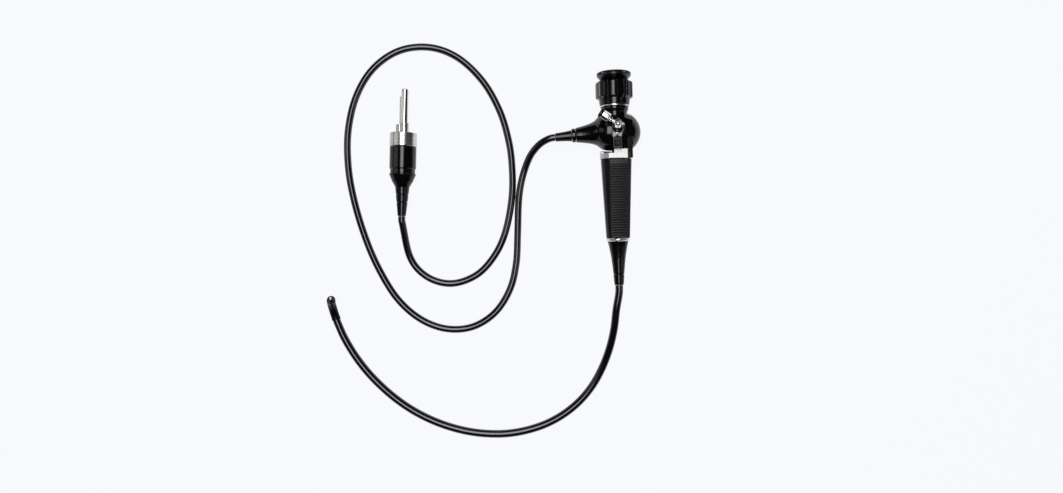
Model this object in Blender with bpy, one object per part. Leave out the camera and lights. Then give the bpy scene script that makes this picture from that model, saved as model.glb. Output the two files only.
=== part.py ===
"""Flexible fibre endoscope: eyepiece, control body with angulation lever, grip, insertion tube with a
linked bending section, and a light-guide cable with its connector.

Metres, +Z up. The scope lies on the plane z = 0 with its front up. +Y runs along the body to the eyepiece
and +X to the side cover. The origin is below the middle of the control section.
"""
import math

import bmesh
import bpy
from mathutils import Matrix, Vector

MM = 0.001
GAP = 0.3 * MM                      # clearance between pieces that seat on each other
CLEAR = 30.0 * MM                   # how far a cut runs past the body
ROUND = 20                          # sides of a large turned piece
SMALL_ROUND = 12                    # sides of a small turned piece

# The body frame: x to the side cover, y to the front, z from the eyecup's rim down to the boot
BODY_LENGTH = 197.0 * MM
COVER_RADIUS = 18.0 * MM            # side cover, the widest round of the control body
AXIS_HEIGHT = COVER_RADIUS          # the cover's rim touches the table
DRUM_CENTRE = 54.3 * MM             # lever axis, from the eyecup's rim

# Eyepiece
EYECUP_RADIUS = 15.8 * MM
EYECUP_DEPTH = 6.5 * MM
EYECUP_RIM_INNER = 10.4 * MM
EYECUP_RIM_END = 4.2 * MM            # the rim's widest part ends here
EYECUP_ROOT_RADIUS = 12.9 * MM
EYECUP_RIM_OUTER = 14.4 * MM
EYEPIECE_TUBE_RADIUS = 9.0 * MM
EYEPIECE_TUBE_WALL = 1.1 * MM
EYEPIECE_TUBE_TOP = 3.2 * MM
EYEPIECE_TUBE_END = 31.6 * MM
WINDOW_THICKNESS = 1.5 * MM
WINDOW_LEDGE = 1.0 * MM
OCULAR_CELL_TOP = 11.5 * MM
OCULAR_CELL_LENGTH = 13.0 * MM
OCULAR_WALL = 1.7 * MM
OCULAR_LENS_THICKNESS = 4.4 * MM
OCULAR_LENS_EDGE = 1.8 * MM
DIOPTER_TOP = 6.8 * MM
DIOPTER_FACE_RADIUS = 12.9 * MM
DIOPTER_CHAMFER = 1.5 * MM
DIOPTER_LOBE_TOP = 10.1 * MM
DIOPTER_LOBE_END = 23.4 * MM
DIOPTER_END = 30.6 * MM
DIOPTER_LOBE_RADIUS = 17.2 * MM
DIOPTER_ROOT_RADIUS = 15.4 * MM
DIOPTER_COLLAR_RADIUS = 14.4 * MM
DIOPTER_END_RADIUS = 13.7 * MM
DIOPTER_LOBES = 12
INDEX_RING_RADIUS = 13.4 * MM
INDEX_RING_LENGTH = 1.3 * MM
NECK_TOP_RADIUS = 12.8 * MM
NECK_END_RADIUS = 11.4 * MM
NECK_LENGTH = 11.4 * MM
NECK_LAND = 2.3 * MM                # straight part, as long as the narrowing after it
FERRULE_RADIUS = 3.0 * MM
FERRULE_LENGTH = 6.0 * MM
BUNDLE_RADIUS = 1.2 * MM

# Control body
DRUM_RADIUS = 17.6 * MM
DRUM_SPLIT = 7.3 * MM               # where the side plate closes the housing
CAVITY_RADIUS = 12.0 * MM
CAVITY_LEFT = -6.5 * MM
BELL_TILT = math.radians(4.5)       # the cable side points a little towards the grip
BELL_LENGTH = 36.8 * MM             # from the body axis to the end of the bell
BELL_END_RADIUS = 6.6 * MM
BELL_BORE = 3.2 * MM
CHANNEL_BORE = 4.6 * MM             # bore for the bundle, towards the eyepiece
WIRE_WAY_RADIUS = 6.9 * MM          # wider bore for bundle and wires, towards the grip
PLATE_THICKNESS = 2.5 * MM
LEVER_THICKNESS = 4.2 * MM
SIDE_SLOT = LEVER_THICKNESS + 2 * GAP
BRIDGE_END = 42.0 * MM              # the bridge to the side cover lies above this
FRONT_WALL_BACK = 7.0 * MM          # the front wall beside the lever, from here to the front
FRONT_WALL_END = 60.5 * MM
TONGUE_FRONT = 10.5 * MM             # a lower tongue closes the slot's front down to the grip
COVER_DEPTH = 8.0 * MM
COVER_WALL = 1.8 * MM
SHAFT_RADIUS = 2.0 * MM
SHAFT_LEFT = -1.6 * MM
BUSH_WALL = 0.8 * MM
COVER_BOSS_DEPTH = 3.8 * MM
WIRE_DRUM_RADIUS = 5.2 * MM
WIRE_DRUM_GROOVE = 0.7 * MM
WIRE_RADIUS = 0.4 * MM
WIRE_DRUM_LEFT = -1.4 * MM
WIRE_DRUM_LENGTH = 4.4 * MM
WIRE_DRUM_CHEEK = 0.6 * MM
WIRE_END = 145.0 * MM               # each wire's end inside the grip
LEVER_HUB_RADIUS = 6.0 * MM
LEVER_REACH = 23.0 * MM
LEVER_HALF_WIDTH = 2.7 * MM
LEVER_ANGLE = math.radians(37.0)    # below the line to the grip, as it lies
PAD_LENGTH = 8.5 * MM
PAD_WALL = 0.9 * MM
PAD_RIBS = 4

# Chassis band and grip
BAND_TOP = 71.8 * MM
BAND_STEP = 3.6 * MM
BAND_STEP_X = -2.6 * MM
BAND_END = 80.3 * MM
BAND_PROUD = 0.5 * MM
BAND_WALL = 3.0 * MM
GRIP_END = 153.7 * MM
GRIP_BORE_TOP = 8.2 * MM
GRIP_BORE_END = 6.7 * MM
PANEL_THICKNESS = 2.0 * MM
PANEL_MARGIN = 0.8 * MM
PANEL_LEFT_TOP, PANEL_RIGHT_TOP = -6.7 * MM, 9.4 * MM
PANEL_LEFT_END, PANEL_RIGHT_END = -6.7 * MM, 7.0 * MM
PANEL_PLAIN = 5.2 * MM              # smooth length above the ribs
RIB_PITCH = 2.32 * MM
RIB_WIDTH = 1.35 * MM
RIB_HEIGHT = 0.7 * MM
GRIP_RING_RADIUS = 10.5 * MM
GRIP_RING_LENGTH = 2.1 * MM
BOOT_TOP_RADIUS = 9.7 * MM
BOOT_END_RADIUS = 4.3 * MM
BOOT_BORE = 2.4 * MM

# Instrument port on the front: a leaning seat with a stopcock and a side inlet
PORT_CENTRE = 57.0 * MM
PORT_LEAN = math.radians(35.0)      # towards the eyepiece
PORT_BASE = 17.0 * MM               # height of the seat's datum above the body axis
PORT_SEAT_FOOT = -6.0 * MM          # runs into the drum, which shapes its foot
PORT_SEAT_RADIUS = 5.5 * MM
PORT_SEAT_HEIGHT = 3.8 * MM
PORT_COLLAR_RADIUS = 4.8 * MM
PORT_COLLAR_HEIGHT = 2.2 * MM
PORT_BORE = 1.3 * MM
STOPCOCK_RADIUS = 3.5 * MM
STOPCOCK_HEIGHT = 6.6 * MM
INLET_HEADING = math.radians(56.0)  # from the line to the eyepiece towards the cable side
INLET_NECK_RADIUS = 1.9 * MM
INLET_FLANGE_RADIUS = 2.9 * MM
INLET_LENGTH = 15.4 * MM
LUER_NUT_RADIUS = 4.3 * MM
LUER_NUT_START = 9.4 * MM
LUER_NUT_LENGTH = 7.2 * MM
LUER_NUT_FLAT_COUNT = 8
INLET_CAP_RADIUS = 4.2 * MM
INLET_CAP_THICKNESS = 2.6 * MM
INLET_PLUG_LENGTH = 2.4 * MM
PLUG_RADIUS = 1.3 * MM
HANDLE_REACH = 5.4 * MM
HANDLE_THICKNESS = 1.3 * MM
HANDLE_ANGLE = math.radians(-50.0)

# Suction button in its frame, between the port and the band
BUTTON_CENTRE = 67.0 * MM
BUTTON_FRAME_WIDTH = 7.8 * MM
BUTTON_FRAME_LENGTH = 8.6 * MM
BUTTON_FRAME_TOP = 18.6 * MM
BUTTON_FRAME_WALL = 1.1 * MM
BUTTON_FRONT_WALL = 2.0 * MM        # thicker by the port, whose seat runs in beside the button
BUTTON_STAND = 1.4 * MM
BUTTON_THICKNESS = 2.6 * MM
BUTTON_FLOOR = 13.8 * MM
SPRING_RADIUS = 1.5 * MM
SPRING_WIRE = 0.25 * MM
SPRING_TURNS = 3
SPRING_OFFSET = 1.0 * MM            # from the button's middle towards the grip

# Insertion tube and its bending section
TUBE_RADIUS = 3.65 * MM
BEND_START = Vector((-257.6, -124.0, 4.4)) * MM
BEND_HEADING = math.radians(18.0)   # of the tube's end, from +Y towards -X
BEND_LEAN = math.radians(18.5)      # of the bending plane, from upright towards +X
BEND_JOINTS = 8
BEND_PITCH = 3.05 * MM
BEND_REST = math.radians(10.0)      # each joint, as the scope lies
FERRULE_REACH = 1.5 * MM            # from the tube's end to the first pivot
LINK_RADIUS = 3.3 * MM
LINK_LAYER = 0.45 * MM              # thickness of an ear
LINK_BORE = 2.1 * MM
LINK_END_GAP = 1.0 * MM            # from a pivot to the ring's edge
EAR_REACH = 0.72 * MM                # an ear's reach past its pivot
PIVOT_RADIUS = 0.25 * MM
PIVOT_HOLE = 0.5 * MM
LINK_SIDES = 16
RUBBER_RADIUS = 3.95 * MM
RUBBER_WALL = 0.35 * MM
TIP_RADIUS = 3.9 * MM
TIP_LENGTH = 6.4 * MM
LENS_RADIUS = 1.25 * MM
LIGHT_LENS_RADIUS = 0.75 * MM
INSTRUMENT_HOLE = 1.1 * MM
LENS_DEPTH = 1.6 * MM

# Light-guide cable
CABLE_RADIUS = 3.35 * MM
COLLAR_LENGTH = 3.7 * MM
COLLAR_RADIUS = 6.4 * MM
COLLAR_EDGE = 0.4 * MM
RELIEF_LENGTH = 15.0 * MM
RELIEF_TOP_RADIUS = 5.2 * MM
RELIEF_END_RADIUS = 3.85 * MM

# Connector, measured back from the front of its silver ring
CONNECTOR_FRONT = Vector((-188.2, 48.2, 12.8)) * MM
CONNECTOR_HEADING = math.radians(-2.7)
CONNECTOR_RING_RADIUS = 12.7 * MM
CONNECTOR_RING_LENGTH = 12.8 * MM
CONNECTOR_RING_WALL = 2.6 * MM
CONNECTOR_BODY_RADIUS = 12.4 * MM
CONNECTOR_BODY_END = 37.8 * MM
CONNECTOR_BOOT_SHOULDER = 50.6 * MM
CONNECTOR_BOOT_END = 77.3 * MM
PLATE_RECESS = 1.0 * MM
PRONG_RADIUS = 3.4 * MM
PRONG_LENGTH = 41.0 * MM
PRONG_BORE = 2.4 * MM
PIN_RADIUS = 1.7 * MM
PIN_LENGTH = 35.2 * MM
PIN_OFFSET = Vector((3.2, -4.8, 0.0)) * MM
PIN_COLLAR_RADIUS = 3.8 * MM
PIN_COLLAR_OFFSET = Vector((4.1, -4.1, 0.0)) * MM
PRONG_OFFSET = Vector((-0.8, 0.8, 0.0)) * MM
PRONG_COLLAR_RADIUS = 4.3 * MM
COLLAR_STAND = 10.0 * MM

PLATE_END = DRUM_SPLIT + PLATE_THICKNESS
COVER_START = PLATE_END + SIDE_SLOT + GAP
LEFT_REACH = ((BELL_LENGTH + COLLAR_LENGTH) * math.cos(BELL_TILT)
              + (COLLAR_RADIUS - COLLAR_EDGE) * math.sin(BELL_TILT))
RIGHT_REACH = COVER_START + COVER_DEPTH
BODY_X = (LEFT_REACH - RIGHT_REACH) / 2    # puts the origin midway between collar and cover

# The cable's route on the table, by hand: x, y and height in millimetres
CABLE_ROUTE = [
    (-53.5, 38.5, 17.3), (-60.2, 35.1, 15.2), (-66.5, 29.3, 12.2), (-71.6, 22.0, 9.0), (-76.6, 10.0, 5.6),
    (-80.4, -4.0, 3.8), (-82.7, -21.0, 3.4), (-84.2, -49.0, 3.4), (-86.3, -76.5, 3.4), (-93.0, -101.0, 3.4),
    (-107.5, -122.3, 3.4), (-129.0, -135.1, 3.4), (-154.0, -136.3, 3.4), (-178.5, -126.3, 3.4),
    (-200.0, -106.0, 3.4), (-217.5, -75.5, 3.4), (-229.6, -44.0, 3.4), (-238.4, -10.5, 3.4),
    (-242.7, 20.5, 3.4), (-241.8, 53.5, 3.4), (-233.4, 85.5, 3.4), (-216.8, 111.3, 3.4), (-192.0, 127.5, 3.4),
    (-163.0, 130.1, 3.4), (-136.5, 119.7, 3.4), (-113.6, 97.0, 3.4), (-98.5, 69.2, 3.4), (-90.8, 42.0, 3.4),
    (-87.9, 17.5, 3.4), (-88.6, -12.5, 3.4), (-95.4, -45.3, 3.4), (-106.5, -68.3, 3.4),
    (-124.0, -86.2, 3.4), (-147.9, -93.7, 3.4), (-170.6, -86.9, 3.4), (-186.0, -68.3, 4.8),
]
# The insertion tube's route from the boot to the bending section
TUBE_ROUTE = [
    (8.5, -107.5, 17.6), (5.9, -121.7, 16.2), (3.5, -140.4, 13.0), (-1.0, -158.9, 9.4), (-7.9, -176.8, 6.3),
    (-17.3, -193.4, 4.4), (-29.6, -207.8, 3.7), (-44.5, -219.5, 3.7), (-61.3, -228.3, 3.7),
    (-79.3, -233.9, 3.7), (-98.1, -236.7, 3.7), (-117.0, -236.5, 3.7), (-135.8, -233.8, 3.7),
    (-154.0, -228.7, 3.7), (-171.5, -221.5, 3.7), (-188.0, -212.3, 3.7), (-203.3, -201.2, 3.7),
    (-217.3, -188.5, 3.7), (-230.0, -174.5, 3.7), (-241.3, -158.7, 3.8), (-250.6, -141.9, 4.1),
]
CABLE_STEPS = 56
TUBE_STEPS = 24


def clear_scene():
    for obj in list(bpy.data.objects):
        bpy.data.objects.remove(obj, do_unlink=True)


def material(name, colour, roughness, metallic=0.0):
    mat = bpy.data.materials.get(name) or bpy.data.materials.new(name)
    mat.use_nodes = True
    shader = mat.node_tree.nodes["Principled BSDF"]
    shader.inputs["Base Color"].default_value = (*colour, 1.0)
    shader.inputs["Roughness"].default_value = roughness
    shader.inputs["Metallic"].default_value = metallic
    return mat


def gloss_black():
    return material("gloss_black", (0.012, 0.012, 0.013), 0.18)


def satin_black():
    return material("satin_black", (0.02, 0.02, 0.022), 0.45)


def rubber_black():
    return material("rubber_black", (0.022, 0.022, 0.023), 0.6)


def bright_steel():
    return material("bright_steel", (0.72, 0.72, 0.70), 0.22, 1.0)


def brushed_steel():
    return material("brushed_steel", (0.55, 0.55, 0.53), 0.38, 1.0)


def brass():
    return material("brass", (0.75, 0.56, 0.25), 0.3, 1.0)


def lens_glass():
    return material("lens_glass", (0.75, 0.82, 0.88), 0.05)


def frame(name, matrix, parent=None):
    """An empty that places what hangs on it."""
    empty = bpy.data.objects.new(name, None)
    bpy.context.collection.objects.link(empty)
    empty.parent = parent
    empty.matrix_local = matrix
    return empty


def add(name, bm, mat, parent=None, at=(0, 0, 0), turn=(0, 0, 0)):
    """Makes a bmesh into a named object, placed on its parent."""
    bmesh.ops.remove_doubles(bm, verts=bm.verts, dist=1e-7)
    bmesh.ops.recalc_face_normals(bm, faces=bm.faces)
    mesh = bpy.data.meshes.new(name)
    bm.to_mesh(mesh)
    bm.free()
    mesh.materials.append(mat)
    mesh.shade_smooth()
    mesh.set_sharp_from_angle(angle=math.radians(35))
    obj = bpy.data.objects.new(name, mesh)
    bpy.context.collection.objects.link(obj)
    obj.parent = parent
    obj.location = at
    obj.rotation_euler = turn
    return obj


def profile_mesh(profile, closed, steps):
    """Turns a profile of (radius, along) points about Z. An open one is capped, or meets the axis."""
    bm = bmesh.new()
    verts = [bm.verts.new((radius, 0, along)) for radius, along in profile]
    edges = [bm.edges.new(pair) for pair in zip(verts, verts[1:])]
    if closed:
        edges.append(bm.edges.new((verts[-1], verts[0])))
    bmesh.ops.spin(bm, geom=verts + edges, cent=(0, 0, 0), axis=(0, 0, 1), angle=math.tau, steps=steps,
                   use_merge=True, use_duplicate=False)
    bmesh.ops.remove_doubles(bm, verts=bm.verts, dist=1e-7)
    open_edges = [edge for edge in bm.edges if edge.is_boundary]
    if open_edges:
        bmesh.ops.holes_fill(bm, edges=open_edges)
    return bm


def turned(name, profile, mat, parent=None, at=(0, 0, 0), turn=(0, 0, 0), closed=False, steps=ROUND):
    return add(name, profile_mesh(profile, closed, steps), mat, parent, at, turn)


def ring(name, outer, inner, start, end, mat, parent=None, at=(0, 0, 0), turn=(0, 0, 0), steps=ROUND):
    """A plain sleeve between two distances along its axis."""
    profile = [(outer, start), (outer, end), (inner, end), (inner, start)]
    return turned(name, profile, mat, parent, at, turn, closed=True, steps=steps)


def rod_mesh(radius, start, end, steps=SMALL_ROUND):
    return profile_mesh([(radius, start), (radius, end)], False, steps)


def loft_mesh(sections):
    """Joins outlines of equal counts, given as (points, height), and caps the ends."""
    bm = bmesh.new()
    loops = []
    for points, height in sections:
        verts = [bm.verts.new((x, y, height)) for x, y in points]
        loops.append([bm.edges.new((a, b)) for a, b in zip(verts, verts[1:] + verts[:1])])
    for lower, upper in zip(loops, loops[1:]):
        bmesh.ops.bridge_loops(bm, edges=lower + upper)
    open_edges = [edge for edge in bm.edges if edge.is_boundary]
    bmesh.ops.holes_fill(bm, edges=open_edges)
    return bm


def block_mesh(low, high):
    bm = bmesh.new()
    bmesh.ops.create_cube(bm, size=1.0)
    low, high = Vector(low), Vector(high)
    bmesh.ops.scale(bm, vec=high - low, verts=bm.verts)
    bmesh.ops.translate(bm, vec=(low + high) / 2, verts=bm.verts)
    return bm


def boolean(target, cutter, operation):
    """Applies a hidden solid to the target: DIFFERENCE, UNION or INTERSECT."""
    modifier = target.modifiers.new(f"{operation.lower()}_{cutter.name}", "BOOLEAN")
    modifier.operation = operation
    modifier.solver = "EXACT"
    modifier.object = cutter
    return target


def tool(name, bm, parent=None, at=(0, 0, 0), turn=(0, 0, 0)):
    obj = add(name, bm, satin_black(), parent, at, turn)
    obj.hide_render = True
    obj.display_type = "WIRE"
    return obj


def arc(centre, radii, start_deg, end_deg, count):
    """Points on an elliptical arc in the plane of a profile."""
    angles = [math.radians(start_deg + (end_deg - start_deg) * i / count) for i in range(count + 1)]
    return [(centre[0] + radii[0] * math.cos(a), centre[1] + radii[1] * math.sin(a)) for a in angles]


ALONG_X = (0, math.pi / 2, 0)       # turns a piece's own axis to the body frame's x


def body_frame():
    turn = Matrix.Rotation(math.pi / 2, 4, "X")
    return frame("body_frame", Matrix.Translation((BODY_X, BODY_LENGTH / 2, AXIS_HEIGHT)) @ turn)


def bell_frame(body):
    """The bell's own axis: z runs from the drum's centre out to the cable."""
    return frame("bell_frame", Matrix.Translation((0, 0, DRUM_CENTRE)) @ Matrix.Rotation(BELL_TILT, 4, "Y")
                 @ Matrix.Rotation(-math.pi / 2, 4, "Y"), body)


def fit_to_drum(target, body, bell):
    """Hollows a piece to sit round the drum: the straight cover side and the leaning bell side."""
    round_of = DRUM_RADIUS + GAP
    cover_side = tool(f"{target.name}_cover_side", rod_mesh(round_of, DRUM_SPLIT, CLEAR, 2 * ROUND), body,
                      (0, 0, DRUM_CENTRE), ALONG_X)
    bell_side = tool(f"{target.name}_bell_side", rod_mesh(round_of, -DRUM_SPLIT - 3 * MM, CLEAR, 2 * ROUND), bell)
    boolean(target, cover_side, "DIFFERENCE")
    boolean(target, bell_side, "DIFFERENCE")


def eyepiece(body):
    tube_inner = EYEPIECE_TUBE_RADIUS - EYEPIECE_TUBE_WALL
    seat = EYEPIECE_TUBE_RADIUS + GAP
    rounding = EYECUP_RADIUS - EYECUP_RIM_OUTER
    turned("eyecup", [(EYECUP_RIM_INNER, 0), (EYECUP_RIM_OUTER, 0), (EYECUP_RADIUS - 0.3 * rounding, 0.3 * rounding),
                      (EYECUP_RADIUS, rounding), (EYECUP_RADIUS, EYECUP_RIM_END - rounding / 2),
                      (EYECUP_RADIUS - rounding / 2, EYECUP_RIM_END), (EYECUP_ROOT_RADIUS, EYECUP_DEPTH),
                      (seat, EYECUP_DEPTH), (seat, EYEPIECE_TUBE_TOP)], satin_black(), body, closed=True)
    ledge = EYEPIECE_TUBE_TOP + WINDOW_THICKNESS + 2 * GAP
    turned("eyepiece_tube", [(EYEPIECE_TUBE_RADIUS, EYEPIECE_TUBE_TOP), (EYEPIECE_TUBE_RADIUS, EYEPIECE_TUBE_END),
                             (tube_inner, EYEPIECE_TUBE_END), (tube_inner, ledge + WINDOW_LEDGE),
                             (tube_inner - WINDOW_LEDGE, ledge + WINDOW_LEDGE),
                             (tube_inner - WINDOW_LEDGE, ledge), (tube_inner, ledge),
                             (tube_inner, EYEPIECE_TUBE_TOP)], brushed_steel(), body, closed=True)
    add("eyepiece_window", rod_mesh(tube_inner - GAP, EYEPIECE_TUBE_TOP + GAP, ledge - GAP, ROUND),
        lens_glass(), body)
    cell_radius = tube_inner - GAP
    lens_radius = cell_radius - OCULAR_WALL
    lens_end = OCULAR_CELL_TOP + 2.0 * MM + OCULAR_LENS_THICKNESS
    turned("ocular_cell", [(cell_radius, OCULAR_CELL_TOP), (cell_radius, OCULAR_CELL_TOP + OCULAR_CELL_LENGTH),
                           (lens_radius - 0.9 * MM, OCULAR_CELL_TOP + OCULAR_CELL_LENGTH),
                           (lens_radius - 0.9 * MM, lens_end), (lens_radius, lens_end),
                           (lens_radius, OCULAR_CELL_TOP)], satin_black(), body, closed=True)
    middle = lens_end - GAP - OCULAR_LENS_THICKNESS / 2
    bulge = (OCULAR_LENS_THICKNESS - OCULAR_LENS_EDGE) / 2
    edge = lens_radius - GAP
    faces = [(edge * i / 3, middle - OCULAR_LENS_EDGE / 2 - bulge * (1 - (i / 3) ** 2)) for i in range(4)]
    faces += [(radius, 2 * middle - along) for radius, along in reversed(faces)]
    turned("ocular_lens", faces, lens_glass(), body)


def lobed_outline(lobes, root, steps_each=4):
    """A lobed round: broad rounded lobes between narrow grooves."""
    points = []
    shape = [0.75, 1.0, 0.75, 0.0]
    for i in range(lobes * steps_each):
        angle = math.tau * i / (lobes * steps_each)
        radius = root + (DIOPTER_LOBE_RADIUS - root) * shape[i % steps_each]
        points.append((radius * math.cos(angle), radius * math.sin(angle)))
    return points


def scaled_outline(points, radius):
    """The same count of points drawn in to a round of one radius."""
    return [tuple(Vector(point).normalized() * min(radius, Vector(point).length)) for point in points]


def diopter_ring(body):
    lobed = lobed_outline(DIOPTER_LOBES, DIOPTER_ROOT_RADIUS)
    top = scaled_outline(lobed, DIOPTER_ROOT_RADIUS - 0.6 * MM)
    collar = scaled_outline(lobed, DIOPTER_COLLAR_RADIUS)
    end = scaled_outline(lobed, DIOPTER_END_RADIUS)
    face = scaled_outline(lobed, DIOPTER_FACE_RADIUS)
    outside = loft_mesh([(face, DIOPTER_TOP), (top, DIOPTER_LOBE_TOP - DIOPTER_CHAMFER), (lobed, DIOPTER_LOBE_TOP),
                         (lobed, DIOPTER_LOBE_END), (collar, DIOPTER_LOBE_END + DIOPTER_CHAMFER),
                         (end, DIOPTER_END)])
    knob = add("diopter_ring", outside, satin_black(), body)
    bore = tool("diopter_bore", rod_mesh(EYEPIECE_TUBE_RADIUS + GAP, DIOPTER_TOP - MM, DIOPTER_END + MM, ROUND), body)
    boolean(knob, bore, "DIFFERENCE")


def neck(body, bell):
    start = DIOPTER_END + GAP
    index_end = start + INDEX_RING_LENGTH
    ring("index_ring", INDEX_RING_RADIUS, EYEPIECE_TUBE_RADIUS + GAP, start, index_end, bright_steel(), body)
    top = index_end + GAP
    end = top + NECK_LENGTH
    well = EYEPIECE_TUBE_END + GAP
    sleeve = turned("neck_sleeve", [(NECK_TOP_RADIUS, top), (NECK_TOP_RADIUS, top + NECK_LAND),
                                    (NECK_END_RADIUS, top + 2 * NECK_LAND), (NECK_END_RADIUS, end),
                                    (FERRULE_RADIUS + GAP, end),
                                    (FERRULE_RADIUS + GAP, well + MM)], gloss_black(), body, closed=True)
    fit_to_drum(sleeve, body, bell)
    ring("image_guide_ferrule", FERRULE_RADIUS, BUNDLE_RADIUS + GAP, well + GAP, well + FERRULE_LENGTH,
         brass(), body, steps=SMALL_ROUND)


def bell_profile():
    """The cable side of the body: a drum that falls away in a hollow curve to the cable collar."""
    shoulder = [(DRUM_RADIUS, 5.5 * MM), (DRUM_RADIUS - 0.5 * MM, 9.0 * MM), (16.2 * MM, 12.6 * MM)]
    flare = [(14.6 * MM, 14.9 * MM), (12.4 * MM, 17.2 * MM), (10.6 * MM, 19.8 * MM), (9.3 * MM, 23.2 * MM),
             (8.2 * MM, 27.8 * MM)]
    return shoulder + flare + [(BELL_END_RADIUS, BELL_LENGTH)]


def control_housing(body, bell):
    overlap = DRUM_SPLIT + 2 * MM
    profile = [(0, -overlap), (DRUM_RADIUS, -overlap), *bell_profile(), (0, BELL_LENGTH)]
    housing = turned("control_housing", profile, gloss_black(), bell)
    beyond = block_mesh((DRUM_SPLIT, -CLEAR, -CLEAR), (CLEAR, CLEAR, CLEAR))
    outside = tool("housing_split", beyond, body, (0, 0, DRUM_CENTRE))
    cavity = tool("housing_cavity", rod_mesh(CAVITY_RADIUS, CAVITY_LEFT, 20 * MM, ROUND), body,
                  (0, 0, DRUM_CENTRE), ALONG_X)
    through = tool("housing_bore", rod_mesh(CHANNEL_BORE, DRUM_CENTRE - CLEAR, DRUM_CENTRE), body)
    wire_way = tool("housing_wire_way", rod_mesh(WIRE_WAY_RADIUS, DRUM_CENTRE, DRUM_CENTRE + CLEAR, ROUND), body)
    cable = tool("housing_cable_bore", rod_mesh(BELL_BORE, 5 * MM, BELL_LENGTH + 5 * MM), bell)
    for cutter in (outside, cavity, through, wire_way, cable):
        boolean(housing, cutter, "DIFFERENCE")


def side_plate(body):
    face = DRUM_SPLIT + GAP
    bore = SHAFT_RADIUS + 2 * GAP + BUSH_WALL
    bridge_end = PLATE_END + SIDE_SLOT
    plate = turned("side_plate", [(bore, face), (DRUM_RADIUS, face), (DRUM_RADIUS, bridge_end), (bore, bridge_end)],
                   satin_black(), body, (0, 0, DRUM_CENTRE), ALONG_X, closed=True)
    beyond = DRUM_CENTRE + CLEAR
    lever_room = block_mesh((PLATE_END, -CLEAR, BRIDGE_END), (bridge_end + MM, FRONT_WALL_BACK, beyond))
    front_gap = block_mesh((PLATE_END, TONGUE_FRONT, FRONT_WALL_END), (bridge_end + MM, CLEAR, beyond))
    tongue = block_mesh((PLATE_END + GAP, FRONT_WALL_BACK, FRONT_WALL_END - 2 * MM),
                        (bridge_end, TONGUE_FRONT, BAND_END))
    boolean(plate, tool("tongue", tongue, body), "UNION")
    boolean(plate, tool("lever_room", lever_room, body), "DIFFERENCE")
    boolean(plate, tool("front_gap", front_gap, body), "DIFFERENCE")
    ring("shaft_bush", SHAFT_RADIUS + GAP + BUSH_WALL, SHAFT_RADIUS + GAP, face + GAP, PLATE_END - GAP, brass(),
         body, (0, 0, DRUM_CENTRE), ALONG_X, steps=SMALL_ROUND)
    dome = arc((0, COVER_START), (COVER_RADIUS, COVER_DEPTH), 90, 0, 6)
    inner = arc((0, COVER_START), (COVER_RADIUS - COVER_WALL, COVER_DEPTH - COVER_WALL), 0, 70, 3)
    boss = bore + 1.6 * MM
    profile = dome + inner + [(boss, inner[-1][1]), (boss, COVER_START), (bore, COVER_START),
                              (bore, COVER_START + COVER_BOSS_DEPTH), (0, COVER_START + COVER_BOSS_DEPTH)]
    turned("side_cover", profile, gloss_black(), body, (0, 0, DRUM_CENTRE), ALONG_X, steps=ROUND + 4)
    ring("cover_bush", SHAFT_RADIUS + GAP + BUSH_WALL, SHAFT_RADIUS + GAP, COVER_START + GAP,
         COVER_START + COVER_BOSS_DEPTH - GAP, brass(), body, (0, 0, DRUM_CENTRE), ALONG_X, steps=SMALL_ROUND)


def angulation_lever(body):
    pivot = frame("lever_axis", Matrix.Translation((0, 0, DRUM_CENTRE)), body)
    add("lever_shaft", rod_mesh(SHAFT_RADIUS, SHAFT_LEFT, COVER_START + COVER_BOSS_DEPTH - GAP),
        bright_steel(), pivot, turn=ALONG_X)
    bore = SHAFT_RADIUS + GAP
    start, end = WIRE_DRUM_LEFT, WIRE_DRUM_LEFT + WIRE_DRUM_LENGTH
    middle = (start + end) / 2
    groove = WIRE_DRUM_RADIUS - WIRE_DRUM_GROOVE
    cheek = WIRE_DRUM_CHEEK
    profile = [(bore, start), (WIRE_DRUM_RADIUS, start), (WIRE_DRUM_RADIUS, start + cheek), (groove, start + 2 * cheek),
               (groove, middle - cheek), (WIRE_DRUM_RADIUS, middle), (groove, middle + cheek),
               (groove, end - 2 * cheek), (WIRE_DRUM_RADIUS, end - cheek), (WIRE_DRUM_RADIUS, end), (bore, end)]
    turned("wire_drum", profile, brass(), pivot, turn=ALONG_X, closed=True, steps=SMALL_ROUND + 8)
    swing = frame("lever_rest", Matrix.Rotation(LEVER_ANGLE, 4, "X"), pivot)
    low = PLATE_END + GAP
    high = low + LEVER_THICKNESS
    hub = turned("angulation_lever", [(bore, low), (LEVER_HUB_RADIUS, low), (LEVER_HUB_RADIUS, high), (bore, high)],
                 satin_black(), swing, turn=ALONG_X, closed=True)
    neck_reach = LEVER_REACH - PAD_LENGTH
    core = LEVER_HALF_WIDTH - PAD_WALL
    root = LEVER_HALF_WIDTH + 0.9 * MM
    blade = [(-root, bore + MM), (root, bore + MM), (LEVER_HALF_WIDTH, neck_reach - MM), (core, neck_reach),
             (core, LEVER_REACH - PAD_WALL), (-core, LEVER_REACH - PAD_WALL), (-core, neck_reach),
             (-LEVER_HALF_WIDTH, neck_reach - MM)]
    bm = bmesh.new()
    face = bm.faces.new([bm.verts.new((low, y, z)) for y, z in blade])
    made = bmesh.ops.extrude_face_region(bm, geom=[face])
    moved = [item for item in made["geom"] if isinstance(item, bmesh.types.BMVert)]
    bmesh.ops.translate(bm, vec=(high - low, 0, 0), verts=moved)
    boolean(hub, tool("lever_blade", bm, swing), "UNION")
    boolean(hub, tool("lever_bore", rod_mesh(bore, low - MM, high + MM), swing, turn=ALONG_X), "DIFFERENCE")
    thumb_pad(swing, low, high)


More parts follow.
